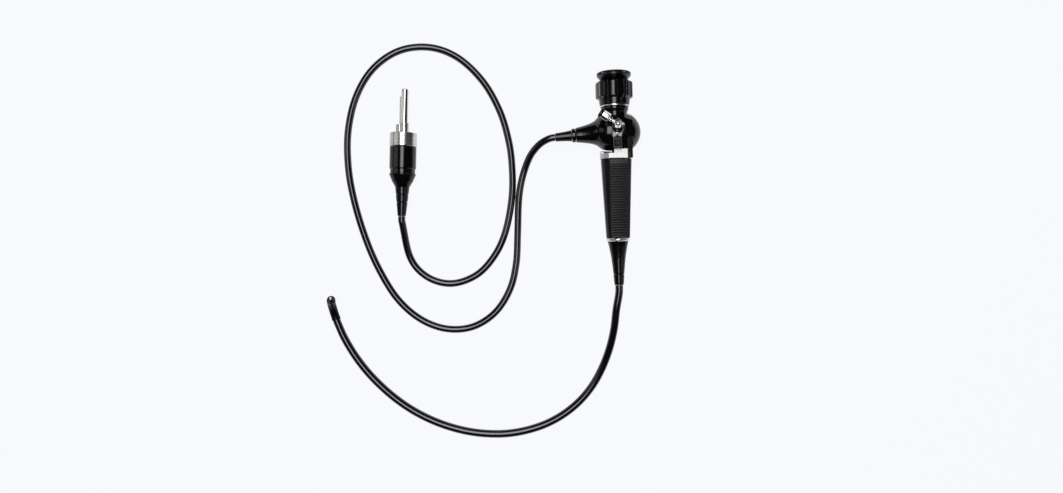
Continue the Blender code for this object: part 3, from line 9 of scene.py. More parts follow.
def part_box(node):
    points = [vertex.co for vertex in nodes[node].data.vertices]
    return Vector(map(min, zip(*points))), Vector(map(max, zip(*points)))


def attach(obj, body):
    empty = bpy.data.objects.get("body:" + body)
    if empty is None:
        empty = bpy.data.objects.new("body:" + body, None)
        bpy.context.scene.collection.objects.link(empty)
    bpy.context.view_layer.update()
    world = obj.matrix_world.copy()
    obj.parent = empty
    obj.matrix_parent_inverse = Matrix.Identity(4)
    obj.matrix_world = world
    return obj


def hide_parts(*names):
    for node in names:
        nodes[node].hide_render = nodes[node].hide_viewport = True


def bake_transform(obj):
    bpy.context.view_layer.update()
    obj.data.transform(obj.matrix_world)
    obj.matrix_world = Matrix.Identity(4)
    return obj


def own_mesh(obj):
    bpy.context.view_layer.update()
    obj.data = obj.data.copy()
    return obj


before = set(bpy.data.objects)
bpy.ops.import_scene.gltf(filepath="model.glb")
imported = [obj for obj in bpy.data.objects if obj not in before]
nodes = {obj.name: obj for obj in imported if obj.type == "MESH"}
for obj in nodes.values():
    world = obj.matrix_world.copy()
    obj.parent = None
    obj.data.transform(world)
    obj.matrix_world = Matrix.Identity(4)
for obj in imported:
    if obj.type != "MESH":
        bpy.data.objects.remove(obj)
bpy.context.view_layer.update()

MM = 0.001

# Sizes are in millimetres and angles in degrees, and a place times MM is in metres
GAP = 0.3

# The body, whose stations run from the eyepiece's rim to the end of the boot
BODY_PLACE = (8.973, 98.5, 18.0)
DRUM_CENTRE, DRUM_RADIUS = 54.3, 17.6
HOUSING_FACE = 7.3
RIB_START, RIB_WIDTH, RIB_PITCH = 86.6, 1.35, 2.32
PANEL_LEFT, PANEL_RIGHT = -7.0, 8.0
BOOT_START, BOOT_LENGTH, BODY_END = 156.4, 40.6, 197.0

# The side cover's dome, a cap of a ball whose centre lies a little nearer the grip than the drum's
COVER_START = 14.9
DOME_RADIUS, DOME_CENTRE, DOME_DROP = 19.1, 4.3, 1.3
DOME_FROM = math.degrees(math.asin((COVER_START - DOME_CENTRE) / DOME_RADIUS))
DOME_RIM = DOME_RADIUS * math.cos(math.radians(DOME_FROM))
DOME_STEPS = 28

# The bell, and the collar and sleeve through which the cable leaves it
BELL_TILT, BELL_LENGTH = 4.5, 36.8
COLLAR_START = BELL_LENGTH + GAP
RELIEF_START = COLLAR_START + 3.7
RELIEF_LENGTH = 15.0

# The port, with its stopcock and inlet, and the button
PORT_BASE, PORT_CENTRE, PORT_LEAN = 17.0, 57.0, 35.0
STOPCOCK_START, STOPCOCK_END = 6.6, 13.2
INLET_HEADING, HANDLE_ANGLE = 56.0, -50.0
HANDLE_HEIGHT, KNOB_REACH, KNOB_RADIUS = 0.95, 5.4, 1.5
NUT_FLATS = 8

# The light-guide connector, whose stations run back from the front of its ring
CONNECTOR_FRONT = Vector((-188.2, 48.2, 12.8)) * MM
CONNECTOR_HEADING = -2.7
PLATE_BACK = -11.8
PRONG_PLACE, PIN_PLACE = Vector((-0.8, 0.8, 0)) * MM, Vector((3.2, -4.8, 0)) * MM
SLEEVE_SHOULDER, SLEEVE_TAPER, CONNECTOR_END = -50.6, 26.7, -77.3
SLEEVE_WIDE, SLEEVE_NARROW = 6.6, 3.85

# The bending section, as it lies with each of its joints at the same angle
BEND_START = Vector((-257.6, -124.0, 4.4)) * MM
BEND_HEADING, BEND_LEAN = 18.0, 18.5
BEND_JOINTS, BEND_PITCH, BEND_REST = 8, 3.05, 10.0
FERRULE_REACH = 1.5
SHEATH_RADIUS, SHEATH_WALL = 3.95, 0.35

CABLE_RADIUS = 3.35
TUBE_RADIUS = 3.65

# How finely shapes are cut and softened
CORNER_CUTS = 3
FLAT_ANGLE, KEEN_ANGLE = 1.0, 14.0
ROUTE_STEPS = 16
HOOP_STEPS = 6

CAMERA_PLACE, CAMERA_TURN, CAMERA_LENS = (-0.0714, -0.0607, 0.760), -1.5, 27.09
FLOOR_HALF = 3.0


def shift(x, y, z):
    """A move in millimetres."""
    return Matrix.Translation((x * MM, y * MM, z * MM))


def turn(angle, axis):
    """A turn in degrees."""
    return Matrix.Rotation(math.radians(angle), 4, axis)


def bend_frame():
    """The tube's end: z along the tube, and a turn about x bends it up from the table."""
    heading, lean = math.radians(BEND_HEADING), math.radians(BEND_LEAN)
    along = Vector((-math.sin(heading), math.cos(heading), 0))
    across = Vector((math.cos(heading), math.sin(heading), 0))
    towards = Vector((0, 0, 1)) * math.cos(lean) + across * math.sin(lean)
    facing = Matrix((along.cross(towards), -towards, along)).transposed().to_4x4()
    return Matrix.Translation(BEND_START) @ facing


# Each part's own frame, in which z is its axis
BODY = shift(*BODY_PLACE) @ turn(90, "X")
DRUM = BODY @ shift(0, 0, DRUM_CENTRE)
ACROSS = DRUM @ turn(90, "Y")
BELL = DRUM @ turn(BELL_TILT, "Y") @ turn(-90, "Y")
PORT = BODY @ shift(0, PORT_BASE, PORT_CENTRE) @ turn(-90 - PORT_LEAN, "X")
INLET = (PORT @ shift(0, 0, (STOPCOCK_START + STOPCOCK_END) / 2)
         @ turn(90 + PORT_LEAN, "X") @ turn(180 + INLET_HEADING, "Y"))
HANDLE = PORT @ shift(0, 0, STOPCOCK_END) @ turn(HANDLE_ANGLE, "Z")
CONNECTOR = (Matrix.Translation(CONNECTOR_FRONT) @ turn(CONNECTOR_HEADING, "Z")
             @ turn(-90, "X") @ turn(180, "Z"))
BEND = bend_frame()

# The cords' routes: x, y and height
CABLE_ROUTE = [
    (-53.5, 38.5, 17.3), (-60.2, 35.1, 15.2), (-66.5, 29.3, 12.2), (-71.6, 22.0, 9.0),
    (-76.6, 10.0, 5.6), (-80.4, -4.0, 3.8), (-82.7, -21.0, 3.4), (-84.2, -49.0, 3.4),
    (-86.3, -76.5, 3.4), (-93.0, -101.0, 3.4), (-107.5, -122.3, 3.4), (-129.0, -135.1, 3.4),
    (-154.0, -136.3, 3.4), (-178.5, -126.3, 3.4), (-200.0, -106.0, 3.4), (-217.5, -75.5, 3.4),
    (-229.6, -44.0, 3.4), (-238.4, -10.5, 3.4), (-242.7, 20.5, 3.4), (-241.8, 53.5, 3.4),
    (-233.4, 85.5, 3.4), (-216.8, 111.3, 3.4), (-192.0, 127.5, 3.4), (-163.0, 130.1, 3.4),
    (-136.5, 119.7, 3.4), (-113.6, 97.0, 3.4), (-98.5, 69.2, 3.4), (-90.8, 42.0, 3.4),
    (-87.9, 17.5, 3.4), (-88.6, -12.5, 3.4), (-95.4, -45.3, 3.4), (-106.5, -68.3, 3.4),
    (-124.0, -86.2, 3.4), (-147.9, -93.7, 3.4), (-170.6, -86.9, 3.4), (-186.0, -68.3, 4.8),
]
TUBE_ROUTE = [
    (8.5, -107.5, 17.6), (5.9, -121.7, 16.2), (3.5, -140.4, 13.0), (-1.0, -158.9, 9.4),
    (-7.9, -176.8, 6.3), (-17.3, -193.4, 4.4), (-29.6, -207.8, 3.7), (-44.5, -219.5, 3.7),
    (-61.3, -228.3, 3.7), (-79.3, -233.9, 3.7), (-98.1, -236.7, 3.7), (-117.0, -236.5, 3.7),
    (-135.8, -233.8, 3.7), (-154.0, -228.7, 3.7), (-171.5, -221.5, 3.7), (-188.0, -212.3, 3.7),
    (-203.3, -201.2, 3.7), (-217.3, -188.5, 3.7), (-230.0, -174.5, 3.7), (-241.3, -158.7, 3.8),
    (-250.6, -141.9, 4.1),
]


class Value:
    """A number that changes over a surface, written with plain arithmetic."""

    def __init__(self, finish, socket):
        self.finish = finish
        self.socket = socket

    def maths(self, operation, *values):
        made = self.finish.node("ShaderNodeMath", {"operation": operation}, *values)
        return Value(self.finish, made.outputs[0])

    def __add__(self, other):
        return self.maths("ADD", self, other)

    __radd__ = __add__

    def __sub__(self, other):
        return self.maths("SUBTRACT", self, other)

    def __rsub__(self, other):
        return self.maths("SUBTRACT", other, self)

    def __mul__(self, other):
        return self.maths("MULTIPLY", self, other)

    __rmul__ = __mul__

    def __truediv__(self, other):
        return self.maths("DIVIDE", self, other)

    def sine(self):
        return self.maths("SINE", self)

    def between(self, low, high):
        """0 below low, 1 above high and smooth between them."""
        made = self.finish.node("ShaderNodeMapRange", {"interpolation_type": "SMOOTHSTEP"},
                                self, low, high, 0.0, 1.0)
        return Value(self.finish, made.outputs[0])


class Finish:
    """A material under way: one principled shader, its fixed values and the nodes that feed it."""

    # The colour sockets of a mix node, whose names are shared by its other kinds of value
    MIX_FIRST, MIX_SECOND, MIX_RESULT = 6, 7, 2

    def __init__(self, name, **fixed):
        self.material = bpy.data.materials.new(name)
        self.material.use_nodes = True
        self.tree = self.material.node_tree
        self.shader = self.tree.nodes["Principled BSDF"]
        for label, value in fixed.items():
            self.set(label.replace("_", " "), value)

    def node(self, kind, settings, *values, **named):
        """A node with its settings, and with its sockets fed in their order or by name."""
        made = self.tree.nodes.new(kind)
        for key, value in settings.items():
            setattr(made, key, value)
        for socket, value in zip(made.inputs, values):
            self.feed(socket, value)
        for label, value in named.items():
            self.feed(made.inputs[label], value)
        return made

    def feed(self, socket, value):
        """Links the socket to a value that changes over the surface, or sets it to a fixed one."""
        if isinstance(value, Value):
            self.tree.links.new(value.socket, socket)
        elif isinstance(value, bpy.types.NodeSocket):
            self.tree.links.new(value, socket)
        else:
            socket.default_value = value

    def set(self, label, value):
        self.feed(self.shader.inputs[label], value)

    def place(self, matrix=None):
        """Object coordinates, brought into a part's own frame."""
        spot = self.node("ShaderNodeTexCoord", {}).outputs["Object"]
        if matrix is None:
            return spot
        inverse = matrix.inverted()
        return self.node("ShaderNodeMapping", {"vector_type": "POINT"}, spot,
                         Location=inverse.translation, Rotation=inverse.to_euler()).outputs[0]

    def noise(self, spot, scale, detail, roughness=0.5):
        made = self.node("ShaderNodeTexNoise", {}, Vector=spot, Scale=scale, Detail=detail,
                         Roughness=roughness)
        return Value(self, made.outputs["Fac"])

    def axes(self, spot):
        parts = self.node("ShaderNodeSeparateXYZ", {}, spot)
        return [Value(self, socket) for socket in parts.outputs]

    def vector(self, x, y, z):
        return self.node("ShaderNodeCombineXYZ", {}, x, y, z).outputs[0]

    def tint(self, share, first, second):
        """The surface's colour, mixed from two."""
        made = self.node("ShaderNodeMix", {"data_type": "RGBA"}, Factor=share)
        self.feed(made.inputs[self.MIX_FIRST], (*first, 1))
        self.feed(made.inputs[self.MIX_SECOND], (*second, 1))
        self.set("Base Color", made.outputs[self.MIX_RESULT])

    def relief(self, height, distance, strength):
        """The surface's grain or ripple."""
        made = self.node("ShaderNodeBump", {}, Strength=strength, Distance=distance, Height=height)
        self.set("Normal", made.outputs[0])


def moulded_gloss():
    """Hard black moulding: deep gloss, the faint ripple of a moulded skin, and rubbed patches."""
    look = Finish("polished_moulding", Specular_IOR_Level=0.45)
    spot = look.place()
    rubbed = look.noise(spot, 60.0, 4.0)
    fine = look.noise(spot, 900.0, 2.0)
    look.set("Roughness", rubbed.between(0.35, 0.75) * 0.06 + fine * 0.03 + 0.10)
    look.relief(look.noise(spot, 140.0, 2.0), 0.00010, 0.3)
    look.tint(rubbed, (0.0008, 0.0008, 0.0009), (0.0025, 0.0025, 0.0028))
    return look.material


def moulded_satin(name, grain):
    """Black moulding with a fine eroded grain, shinier where hands rub it."""
    look = Finish(name, Specular_IOR_Level=0.18)
    spot = look.place()
    grains = look.noise(spot, grain, 3.0, 0.6)
    rubbed = look.noise(spot, 45.0, 3.0)
    look.set("Roughness", 0.40 - rubbed.between(0.4, 0.7) * 0.10 + grains * 0.05)
    look.relief(grains, 0.00005, 0.5)
    look.tint(rubbed, (0.002, 0.002, 0.0023), (0.006, 0.006, 0.0066))
    return look.material


def ribbed_satin():
    """The grip's panel: painted highlight lines along its ribs' crests and on the plain stretch
    before them, brighter on the lit left side.
    """
    look = Finish("panel_moulding", Specular_IOR_Level=0.18)
    x, _, along = look.axes(look.place(BODY))
    worn = look.noise(look.place(), 60.0, 3.0)
    wave = (along / MM - RIB_START - RIB_WIDTH / 2) * (math.tau / RIB_PITCH) + math.pi / 2
    crest = wave.sine().between(-0.2, 0.75)
    plain = 1.0 - (along / MM).between(RIB_START - 1.6, RIB_START - 1.0)
    # Painted light: the side term makes the painted highlight brighter towards -x, the side the
    # lamp lights
    side = 1.0 - (x / MM).between(PANEL_LEFT, PANEL_RIGHT) * 0.6
    # Painted highlight: the rib crests and the plain stretch are coloured paler in place of the
    # lamp's highlight lines
    pale = (crest + plain * 0.8).between(0.0, 1.0) * side * (worn * 0.5 + 0.65)
    look.tint(pale, (0.0012, 0.0012, 0.0014), (0.062, 0.064, 0.067))
    look.set("Roughness", worn * 0.1 + 0.36)
    look.relief(look.noise(look.place(), 1100.0, 3.0), 0.00004, 0.4)
    return look.material


def sheath_rubber():
    """Smooth polyurethane sheath: black, a clear top skin, with dust-fine specks."""
    look = Finish("sheath_rubber", Coat_Weight=0.4, Coat_Roughness=0.1)
    spot = look.place()
    clouds = look.noise(spot, 35.0, 3.0)
    specks = look.noise(spot, 2600.0, 1.0).between(0.70, 0.80)
    look.set("Roughness", clouds * 0.06 + specks * 0.1 + 0.15)
    look.relief(look.noise(spot, 420.0, 2.0), 0.00003, 0.15)
    look.tint(clouds, (0.001, 0.001, 0.0011), (0.003, 0.003, 0.0033))
    return look.material


def soft_rubber(name, sheen, dull):
    """Moulded rubber, a little greyer than the sheath."""
    look = Finish(name, Specular_IOR_Level=sheen)
    spot = look.place()
    clouds = look.noise(spot, 50.0, 4.0)
    grain = look.noise(spot, 1100.0, 2.0)
    look.set("Roughness", clouds * 0.06 + grain * 0.04 + 0.11 + dull)
    look.relief(grain, 0.00004, 0.4)
    look.tint(clouds, (0.0012, 0.0012, 0.0014), (0.004, 0.004, 0.0044))
    return look.material


def polished_metal():
    """Bright plating with hairline scratches and thin fingermarks."""
    look = Finish("plated_metal", Metallic=1.0)
    spot = look.place()
    marks = look.noise(spot, 90.0, 4.0)
    hairs = look.noise(spot, 3200.0, 2.0)
    look.set("Roughness", marks.between(0.4, 0.8) * 0.08 + hairs * 0.05 + 0.08)
    look.relief(hairs, 0.000004, 0.3)
    look.tint(marks, (0.84, 0.83, 0.80), (0.70, 0.69, 0.66))
    return look.material


def lathe_metal(name, matrix, pitch):
    """Turned metal: fine rings about the part's axis, each a little different."""
    look = Finish(name, Metallic=1.0)
    spot = look.place(matrix)
    _, _, along = look.axes(spot)
    rings = look.noise(look.vector(0.0, 0.0, along / pitch), 1.0, 2.0)
    marks = look.noise(spot, 70.0, 3.0)
    look.set("Roughness", rings * 0.12 + marks * 0.08 + 0.16)
    look.relief(rings, 0.000012, 0.6)
    look.tint(marks, (0.72, 0.71, 0.68), (0.58, 0.57, 0.54))
    return look.material


def satin_metal(name, dull):
    """Bead-blasted chassis metal, a soft even sheen."""
    look = Finish(name, Metallic=1.0)
    spot = look.place()
    grains = look.noise(spot, 2600.0, 2.0)
    marks = look.noise(spot, 80.0, 3.0)
    look.set("Roughness", grains * 0.10 + marks * 0.12 + 0.24 + dull)
    look.relief(grains, 0.00002, 0.5)
    look.tint(marks, (0.69, 0.69, 0.68), (0.55, 0.55, 0.54))
    return look.material


def yellow_brass():
    """Machined brass with cloudy handling marks."""
    look = Finish("machined_brass", Metallic=1.0)
    marks = look.noise(look.place(), 300.0, 3.0)
    look.set("Roughness", marks * 0.2 + 0.22)
    look.tint(marks, (0.78, 0.57, 0.25), (0.58, 0.40, 0.16))
    return look.material


def coated_glass():
    """Lens glass with the faint violet of its coating."""
    look = Finish("coated_glass", Transmission_Weight=0.92, IOR=1.52, Coat_Weight=0.3)
    marks = look.noise(look.place(), 200.0, 3.0)
    look.set("Roughness", marks.between(0.5, 0.9) * 0.06 + 0.02)
    look.tint(marks, (0.90, 0.93, 0.98), (0.82, 0.84, 0.95))
    return look.material


def frosted_glass():
    """Ground fibre ends, dark while no light comes through them."""
    look = Finish("frosted_fibre_ends")
    fibres = look.noise(look.place(), 9000.0, 1.0)
    look.set("Roughness", fibres * 0.2 + 0.4)
    look.tint(fibres, (0.012, 0.012, 0.014), (0.05, 0.05, 0.052))
    return look.material


GLOSS = moulded_gloss()
SATIN = moulded_satin("satin_moulding", grain=1400.0)
GRIP_SATIN = moulded_satin("grip_moulding", grain=900.0)
PANEL_SATIN = ribbed_satin()
SHEATH = sheath_rubber()
BOOT = soft_rubber("boot_rubber", sheen=0.35, dull=0.0)
COVER_RUBBER = soft_rubber("cover_rubber", sheen=0.12, dull=0.22)
PLATED = polished_metal()
BLASTED = satin_metal("blasted_metal", dull=0.0)
BAND_METAL = satin_metal("band_metal", dull=0.14)
CONNECTOR_TURNED = lathe_metal("connector_turned", CONNECTOR, pitch=0.00016)
BODY_TURNED = lathe_metal("body_turned", BODY, pitch=0.00012)
BRASS = yellow_brass()
GLASS = coated_glass()
FROSTED = frosted_glass()


def finished(name, bm, material, body, stands_for=(), sharp=32.0):
    """A mesh in its place as a piece of the object, riding on a body."""
    mesh = bpy.data.meshes.new(name)
    bm.to_mesh(mesh)
    bm.free()
    mesh.materials.append(material)
    mesh.shade_smooth()
    mesh.set_sharp_from_angle(angle=math.radians(sharp))
    piece = bpy.data.objects.new(name, mesh)
    bpy.context.collection.objects.link(piece)
    even = piece.modifiers.new("even_shading", "WEIGHTED_NORMAL")
    even.keep_sharp = True
    if body:
        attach(piece, body)
    if stands_for:
        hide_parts(*stands_for)
    return piece


def curve_through(first, middle, last, share):
    """A point of the smooth curve from first to last that middle draws towards itself."""
    return (1 - share) ** 2 * first + 2 * share * (1 - share) * middle + share ** 2 * last


def eased(profile, radius, closed):
    """The profile with its corners rounded off."""
    points = [Vector(point) for point in profile]
    count = len(points)
    result = []
    for i, point in enumerate(points):
        if not closed and i in (0, count - 1):
            result.append(point)
            continue
        before, after = points[i - 1], points[(i + 1) % count]
        reach = min(radius, (before - point).length * 0.45, (after - point).length * 0.45)
        first = point + (before - point).normalized() * reach
        last = point + (after - point).normalized() * reach
        for k in range(CORNER_CUTS + 1):
            result.append(curve_through(first, point, last, k / CORNER_CUTS))
    return result


def lathe(profile, matrix, closed=False, steps=96, radius=0.35):
    """Spins a profile of (radius, along) about its part's axis.

    An open profile starts and ends on the axis, and radius rounds the corners.
    """
    bm = bmesh.new()
    points = eased(profile, radius, closed) if radius else [Vector(point) for point in profile]
    verts = [bm.verts.new((point.x * MM, 0, point.y * MM)) for point in points]
    edges = [bm.edges.new(pair) for pair in zip(verts, verts[1:])]
    if closed:
        edges.append(bm.edges.new((verts[-1], verts[0])))
    bmesh.ops.spin(bm, geom=verts + edges, cent=(0, 0, 0), axis=(0, 0, 1), angle=math.tau,
                   steps=steps, use_merge=True, use_duplicate=False)
    bmesh.ops.remove_doubles(bm, verts=bm.verts, dist=1e-7)
    bmesh.ops.transform(bm, matrix=matrix, verts=bm.verts)
    bmesh.ops.recalc_face_normals(bm, faces=bm.faces)
    return bm


def turned(name, profile, matrix, material, body, slot, stands_for=(), **shaping):
    """A lathed piece."""
    return finished(name, lathe(profile, matrix, **shaping), material, body, stands_for)


def waved(levels, count, steps, wave, matrix):
    """One closed skin through rings of (crest, trough, along), with the same wave round each."""
    bm = bmesh.new()
    rings = []
    for crest, trough, along in levels:
        ring = []
        for i in range(count * steps):
            angle = math.tau * i / (count * steps)
            radius = (trough + (crest - trough) * wave((i % steps) / steps)) * MM
            ring.append(bm.verts.new((radius * math.cos(angle), radius * math.sin(angle),
                                      along * MM)))
        rings.append([bm.edges.new(pair) for pair in zip(ring, ring[1:] + ring[:1])])
    close_skin(bm, rings)
    bmesh.ops.transform(bm, matrix=matrix, verts=bm.verts)
    bmesh.ops.recalc_face_normals(bm, faces=bm.faces)
    return bm


def close_skin(bm, rings):
    """Bridges each ring to the next, and the last one to the first."""
    for near, far in zip(rings, rings[1:] + rings[:1]):
        bmesh.ops.bridge_loops(bm, edges=near + far)


def groove_wave(width):
    """A flat crest with one smooth groove, whose width is a share of the pitch."""
    def wave(share):
        dip = max(0.0, (abs(share - 0.5) * 2 - 1 + width) / width)
        return 1 - dip * dip * (3 - 2 * dip)
    return wave


def solid_mesh(node):
    """A copy of a CAD solid's mesh to work on."""
    bm = bmesh.new()
    bm.from_mesh(nodes[node].data)
    return bm


def softened(name, node, material, body, width, reshape=None):
    """The solid's own shape with its edges broken, as a moulded or machined piece has them."""
    bm = solid_mesh(node)
    bmesh.ops.remove_doubles(bm, verts=bm.verts, dist=1e-6)
    if reshape:
        for vert in bm.verts:
            vert.co = reshape(vert.co)
    bmesh.ops.dissolve_limit(bm, angle_limit=math.radians(FLAT_ANGLE), verts=bm.verts,
                             edges=bm.edges)
    keen = [edge for edge in bm.edges
            if edge.is_manifold and edge.calc_face_angle(0) > math.radians(KEEN_ANGLE)]
    bmesh.ops.bevel(bm, geom=keen, offset=width * MM, offset_type="OFFSET", affect="EDGES",
                    segments=2, profile=0.5, clamp_overlap=True, material=-1)
    bmesh.ops.triangulate(bm, faces=[face for face in bm.faces if len(face.verts) > 4])
    return finished(name, bm, material, body, (node,), 40.0)


def joined(*meshes):
    """Several bmeshes as one."""
    whole = meshes[0]
    for other in meshes[1:]:
        held = bpy.data.meshes.new("held")
        other.to_mesh(held)
        other.free()
        whole.from_mesh(held)
        bpy.data.meshes.remove(held)
    return whole


def dress(material, *names):
    """A better finish on the solids whose shape is already right."""
    for name in names:
        node = nodes[name]
        node.data.materials.clear()
        node.data.materials.append(material)


def eyepiece():
    levels = [(10.4, 10.4, 0.15), (10.55, 10.55, 0.0), (14.2, 14.2, 0.0), (14.6, 14.6, 0.1),
              (15.35, 15.0, 0.5), (15.7, 15.25, 1.0), (15.8, 15.35, 1.6), (15.8, 15.35, 2.6),
              (15.8, 15.5, 2.9), (15.8, 15.8, 3.2), (15.7, 15.7, 3.7), (15.1, 15.1, 4.3),
              (13.2, 13.2, 6.3), (12.8, 12.8, 6.5), (9.3, 9.3, 6.5), (9.3, 9.3, 3.2)]
    bm = waved(levels, count=64, steps=6, wave=groove_wave(0.6), matrix=BODY)
    finished("eyecup_shell", bm, GLOSS, "scope", ["eyecup"])
    dress(BODY_TURNED, "eyepiece_tube")
    dress(GLASS, "eyepiece_window", "ocular_lens")
    dress(SATIN, "ocular_cell")
    fluted_ring()
    turned("index_ring_shell", [(9.3, 30.9), (13.4, 30.9), (13.4, 32.2), (9.3, 32.2)], BODY,
           BODY_TURNED, "scope", "bright_steel", ["index_ring"], closed=True, radius=0.3)
    neck = [(9.6, 32.5), (12.8, 32.5), (12.75, 34.6), (11.6, 36.9), (11.4, 37.6), (11.4, 43.9),
            (9.6, 43.9)]
    turned("neck_shell", neck, BODY, GLOSS, "scope", "gloss_black", ["neck_sleeve"],
           closed=True, radius=0.5)


def fluted_ring():
    """The focusing ring: twelve flutes between narrow grooves, with a plain waist behind."""
    levels = [(9.3, 9.3, 6.8), (12.6, 12.6, 6.8), (13.0, 13.0, 7.0), (14.5, 14.5, 8.3),
              (14.8, 14.8, 8.6), (16.6, 15.3, 9.7), (17.05, 15.4, 10.1), (17.2, 15.4, 10.7),
              (17.2, 15.4, 22.7), (17.05, 15.4, 23.3), (16.4, 15.2, 23.8), (14.7, 14.7, 24.7),
              (14.4, 14.4, 25.1), (13.8, 13.8, 29.9), (13.65, 13.65, 30.4), (13.2, 13.2, 30.6),
              (9.3, 9.3, 30.6)]
    bm = waved(levels, count=12, steps=18, wave=groove_wave(0.34), matrix=BODY)
    finished("focusing_ring", bm, GLOSS, "diopter", ["diopter_ring"], 34.0)


def control_section():
    """The drum with its bell, cut flat for the side plate, then the cover and the lever."""
    profile = [(0, -9.3), (DRUM_RADIUS, -9.3), (DRUM_RADIUS, 5.5), (17.4, 7.6), (17.05, 9.4),
               (16.3, 12.0), (15.2, 14.2), (13.7, 16.0), (12.2, 17.5), (11.1, 19.0),
               (10.2, 20.9), (9.4, 23.2), (8.8, 25.5), (8.2, 28.2), (7.6, 31.2),
               (6.6, BELL_LENGTH), (0, BELL_LENGTH)]
    bm = lathe(profile, BELL, steps=160, radius=0.6)
    face = DRUM @ Vector((HOUSING_FACE * MM, 0, 0))
    cut = bmesh.ops.bisect_plane(bm, geom=bm.verts[:] + bm.edges[:] + bm.faces[:],
                                 plane_co=face, plane_no=(1, 0, 0), clear_outer=True)
    rim = [item for item in cut["geom_cut"] if isinstance(item, bmesh.types.BMEdge)]
    bmesh.ops.holes_fill(bm, edges=rim)
    bmesh.ops.recalc_face_normals(bm, faces=bm.faces)
    finished("control_shell", bm, GLOSS, "scope", ["control_housing"])
    softened("side_plate_shell", "side_plate", GLOSS, "scope", 0.25,
             reshape=draw_in)
    dome = [(0, COVER_START), (DOME_RIM - 0.5, COVER_START)]
    for i in range(DOME_STEPS + 1):
        angle = math.radians(DOME_FROM + (90 - DOME_FROM) * i / DOME_STEPS)
        dome.append((DOME_RADIUS * math.cos(angle), DOME_CENTRE + DOME_RADIUS * math.sin(angle)))
    bm = lathe(dome, shift(0, -DOME_DROP, 0) @ ACROSS, steps=160, radius=0)
    finished("side_cover_shell", bm, GLOSS, "scope", ["side_cover"])
    dress(BRASS, "shaft_bush", "cover_bush", "wire_drum", "image_guide_ferrule")
    dress(PLATED, "lever_shaft", "pull_wire_up", "pull_wire_down")
    dress(SATIN, "image_bundle")
    softened("lever_blade", "angulation_lever", SATIN, "lever", 0.3)
    softened("lever_pad", "thumb_pad", BOOT, "lever", 0.2)


def draw_in(place):
    """Draws the side plate's outer rim in, so that it runs on into the cover's dome."""
    local = DRUM.inverted() @ place
    radius = math.hypot(local.y, local.z) / MM
    if local.x / MM < 12.0 or abs(radius - DRUM_RADIUS) > 0.15:
        return place
    narrow = DOME_RIM / DRUM_RADIUS
    return DRUM @ Vector((local.x, local.y * narrow, local.z * narrow + DOME_DROP * MM))


def grip():
    softened("band_shell", "chassis_band", BAND_METAL, "scope", 0.25)
    softened("grip_moulding", "grip_shell", GRIP_SATIN, "scope", 0.35)
    softened("grip_ribs", "grip_panel", PANEL_SATIN, "scope", 0.2)
    ring = [(6.7, 154.0), (10.2, 154.0), (10.5, 154.4), (10.5, 155.5), (10.0, 156.1),
            (6.7, 156.1)]
    turned("grip_end_ring", ring, BODY, BODY_TURNED, "scope", "bright_steel", ["grip_ring"],
           closed=True, radius=0.25)
    # Radius and share of the boot's length
    outer = [(9.7, 0.0), (8.6, 0.11), (7.3, 0.28), (6.55, 0.40), (5.95, 0.53), (5.45, 0.65),
             (5.15, 0.735), (4.75, 0.75), (4.75, 0.765), (5.05, 0.775), (4.75, 0.87),
             (4.5, 0.965), (4.2, 0.975), (4.3, 1.0)]
    boot = [(radius, BOOT_START + share * BOOT_LENGTH) for radius, share in outer]
    boot += [(3.75, BODY_END), (3.75, 193.0), (5.4, BOOT_START)]
    turned("tube_boot", boot, BODY, BOOT, "scope", "rubber_black", ["insertion_boot"],
           closed=True, radius=0.25)


def port():
    """The biopsy port with its stopcock and capped inlet, and the suction button beside it."""
    turned("port_seat_shell", [(0, -3.2), (5.5, -3.2), (5.5, 3.2), (4.9, 3.8), (0, 3.8)], PORT,
           BLASTED, "scope", "bright_steel", ["port_seat"], radius=0.35)
    turned("port_seal_shell", [(0, 4.1), (5.2, 4.1), (5.1, 5.2), (3.9, 6.3), (0, 6.3)], PORT,
           BOOT, "scope", "rubber_black", ["port_seal"], radius=0.4)
    low, high = STOPCOCK_START, STOPCOCK_END
    barrel = [(0, low), (2.5, low), (3.5, low + 1.3), (3.5, high - 1.3), (2.5, high), (0, high)]
    turned("stopcock_barrel", barrel, PORT, PLATED, "scope", "bright_steel", ["stopcock_body"],
           radius=0.5)
    stem = [(0, 1.5), (1.9, 1.5), (1.9, 4.6), (1.35, 5.0), (1.35, 6.4), (1.9, 6.8), (1.9, 10.6),
            (2.9, 10.6), (2.9, 12.0), (1.9, 12.0), (1.9, 15.4), (1.0, 15.4), (1.0, 11.4),
            (0, 11.4)]
    turned("inlet_stem", stem, INLET, PLATED, "scope", "bright_steel", radius=0.2)
    screw_ring()
    cap = [(0, 13.0), (0.7, 13.0), (0.7, 15.7), (2.9, 15.7), (2.9, 16.9), (4.2, 16.9),
           (4.2, 18.8), (3.5, 19.5), (0, 19.5)]
    turned("inlet_plug_cap", cap, INLET, BOOT, "cap", "rubber_black", ["inlet_cap"], radius=0.45)
    stopcock_lever()
    softened("button_housing", "button_frame", GLOSS, "scope", 0.25)
    softened("button_key", "suction_button", SATIN, "button", 0.15)
    coil = finished("button_coil", solid_mesh("button_spring"), PLATED, "scope",
                    ["button_spring"])
    low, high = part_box("button_spring")
    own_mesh(coil)


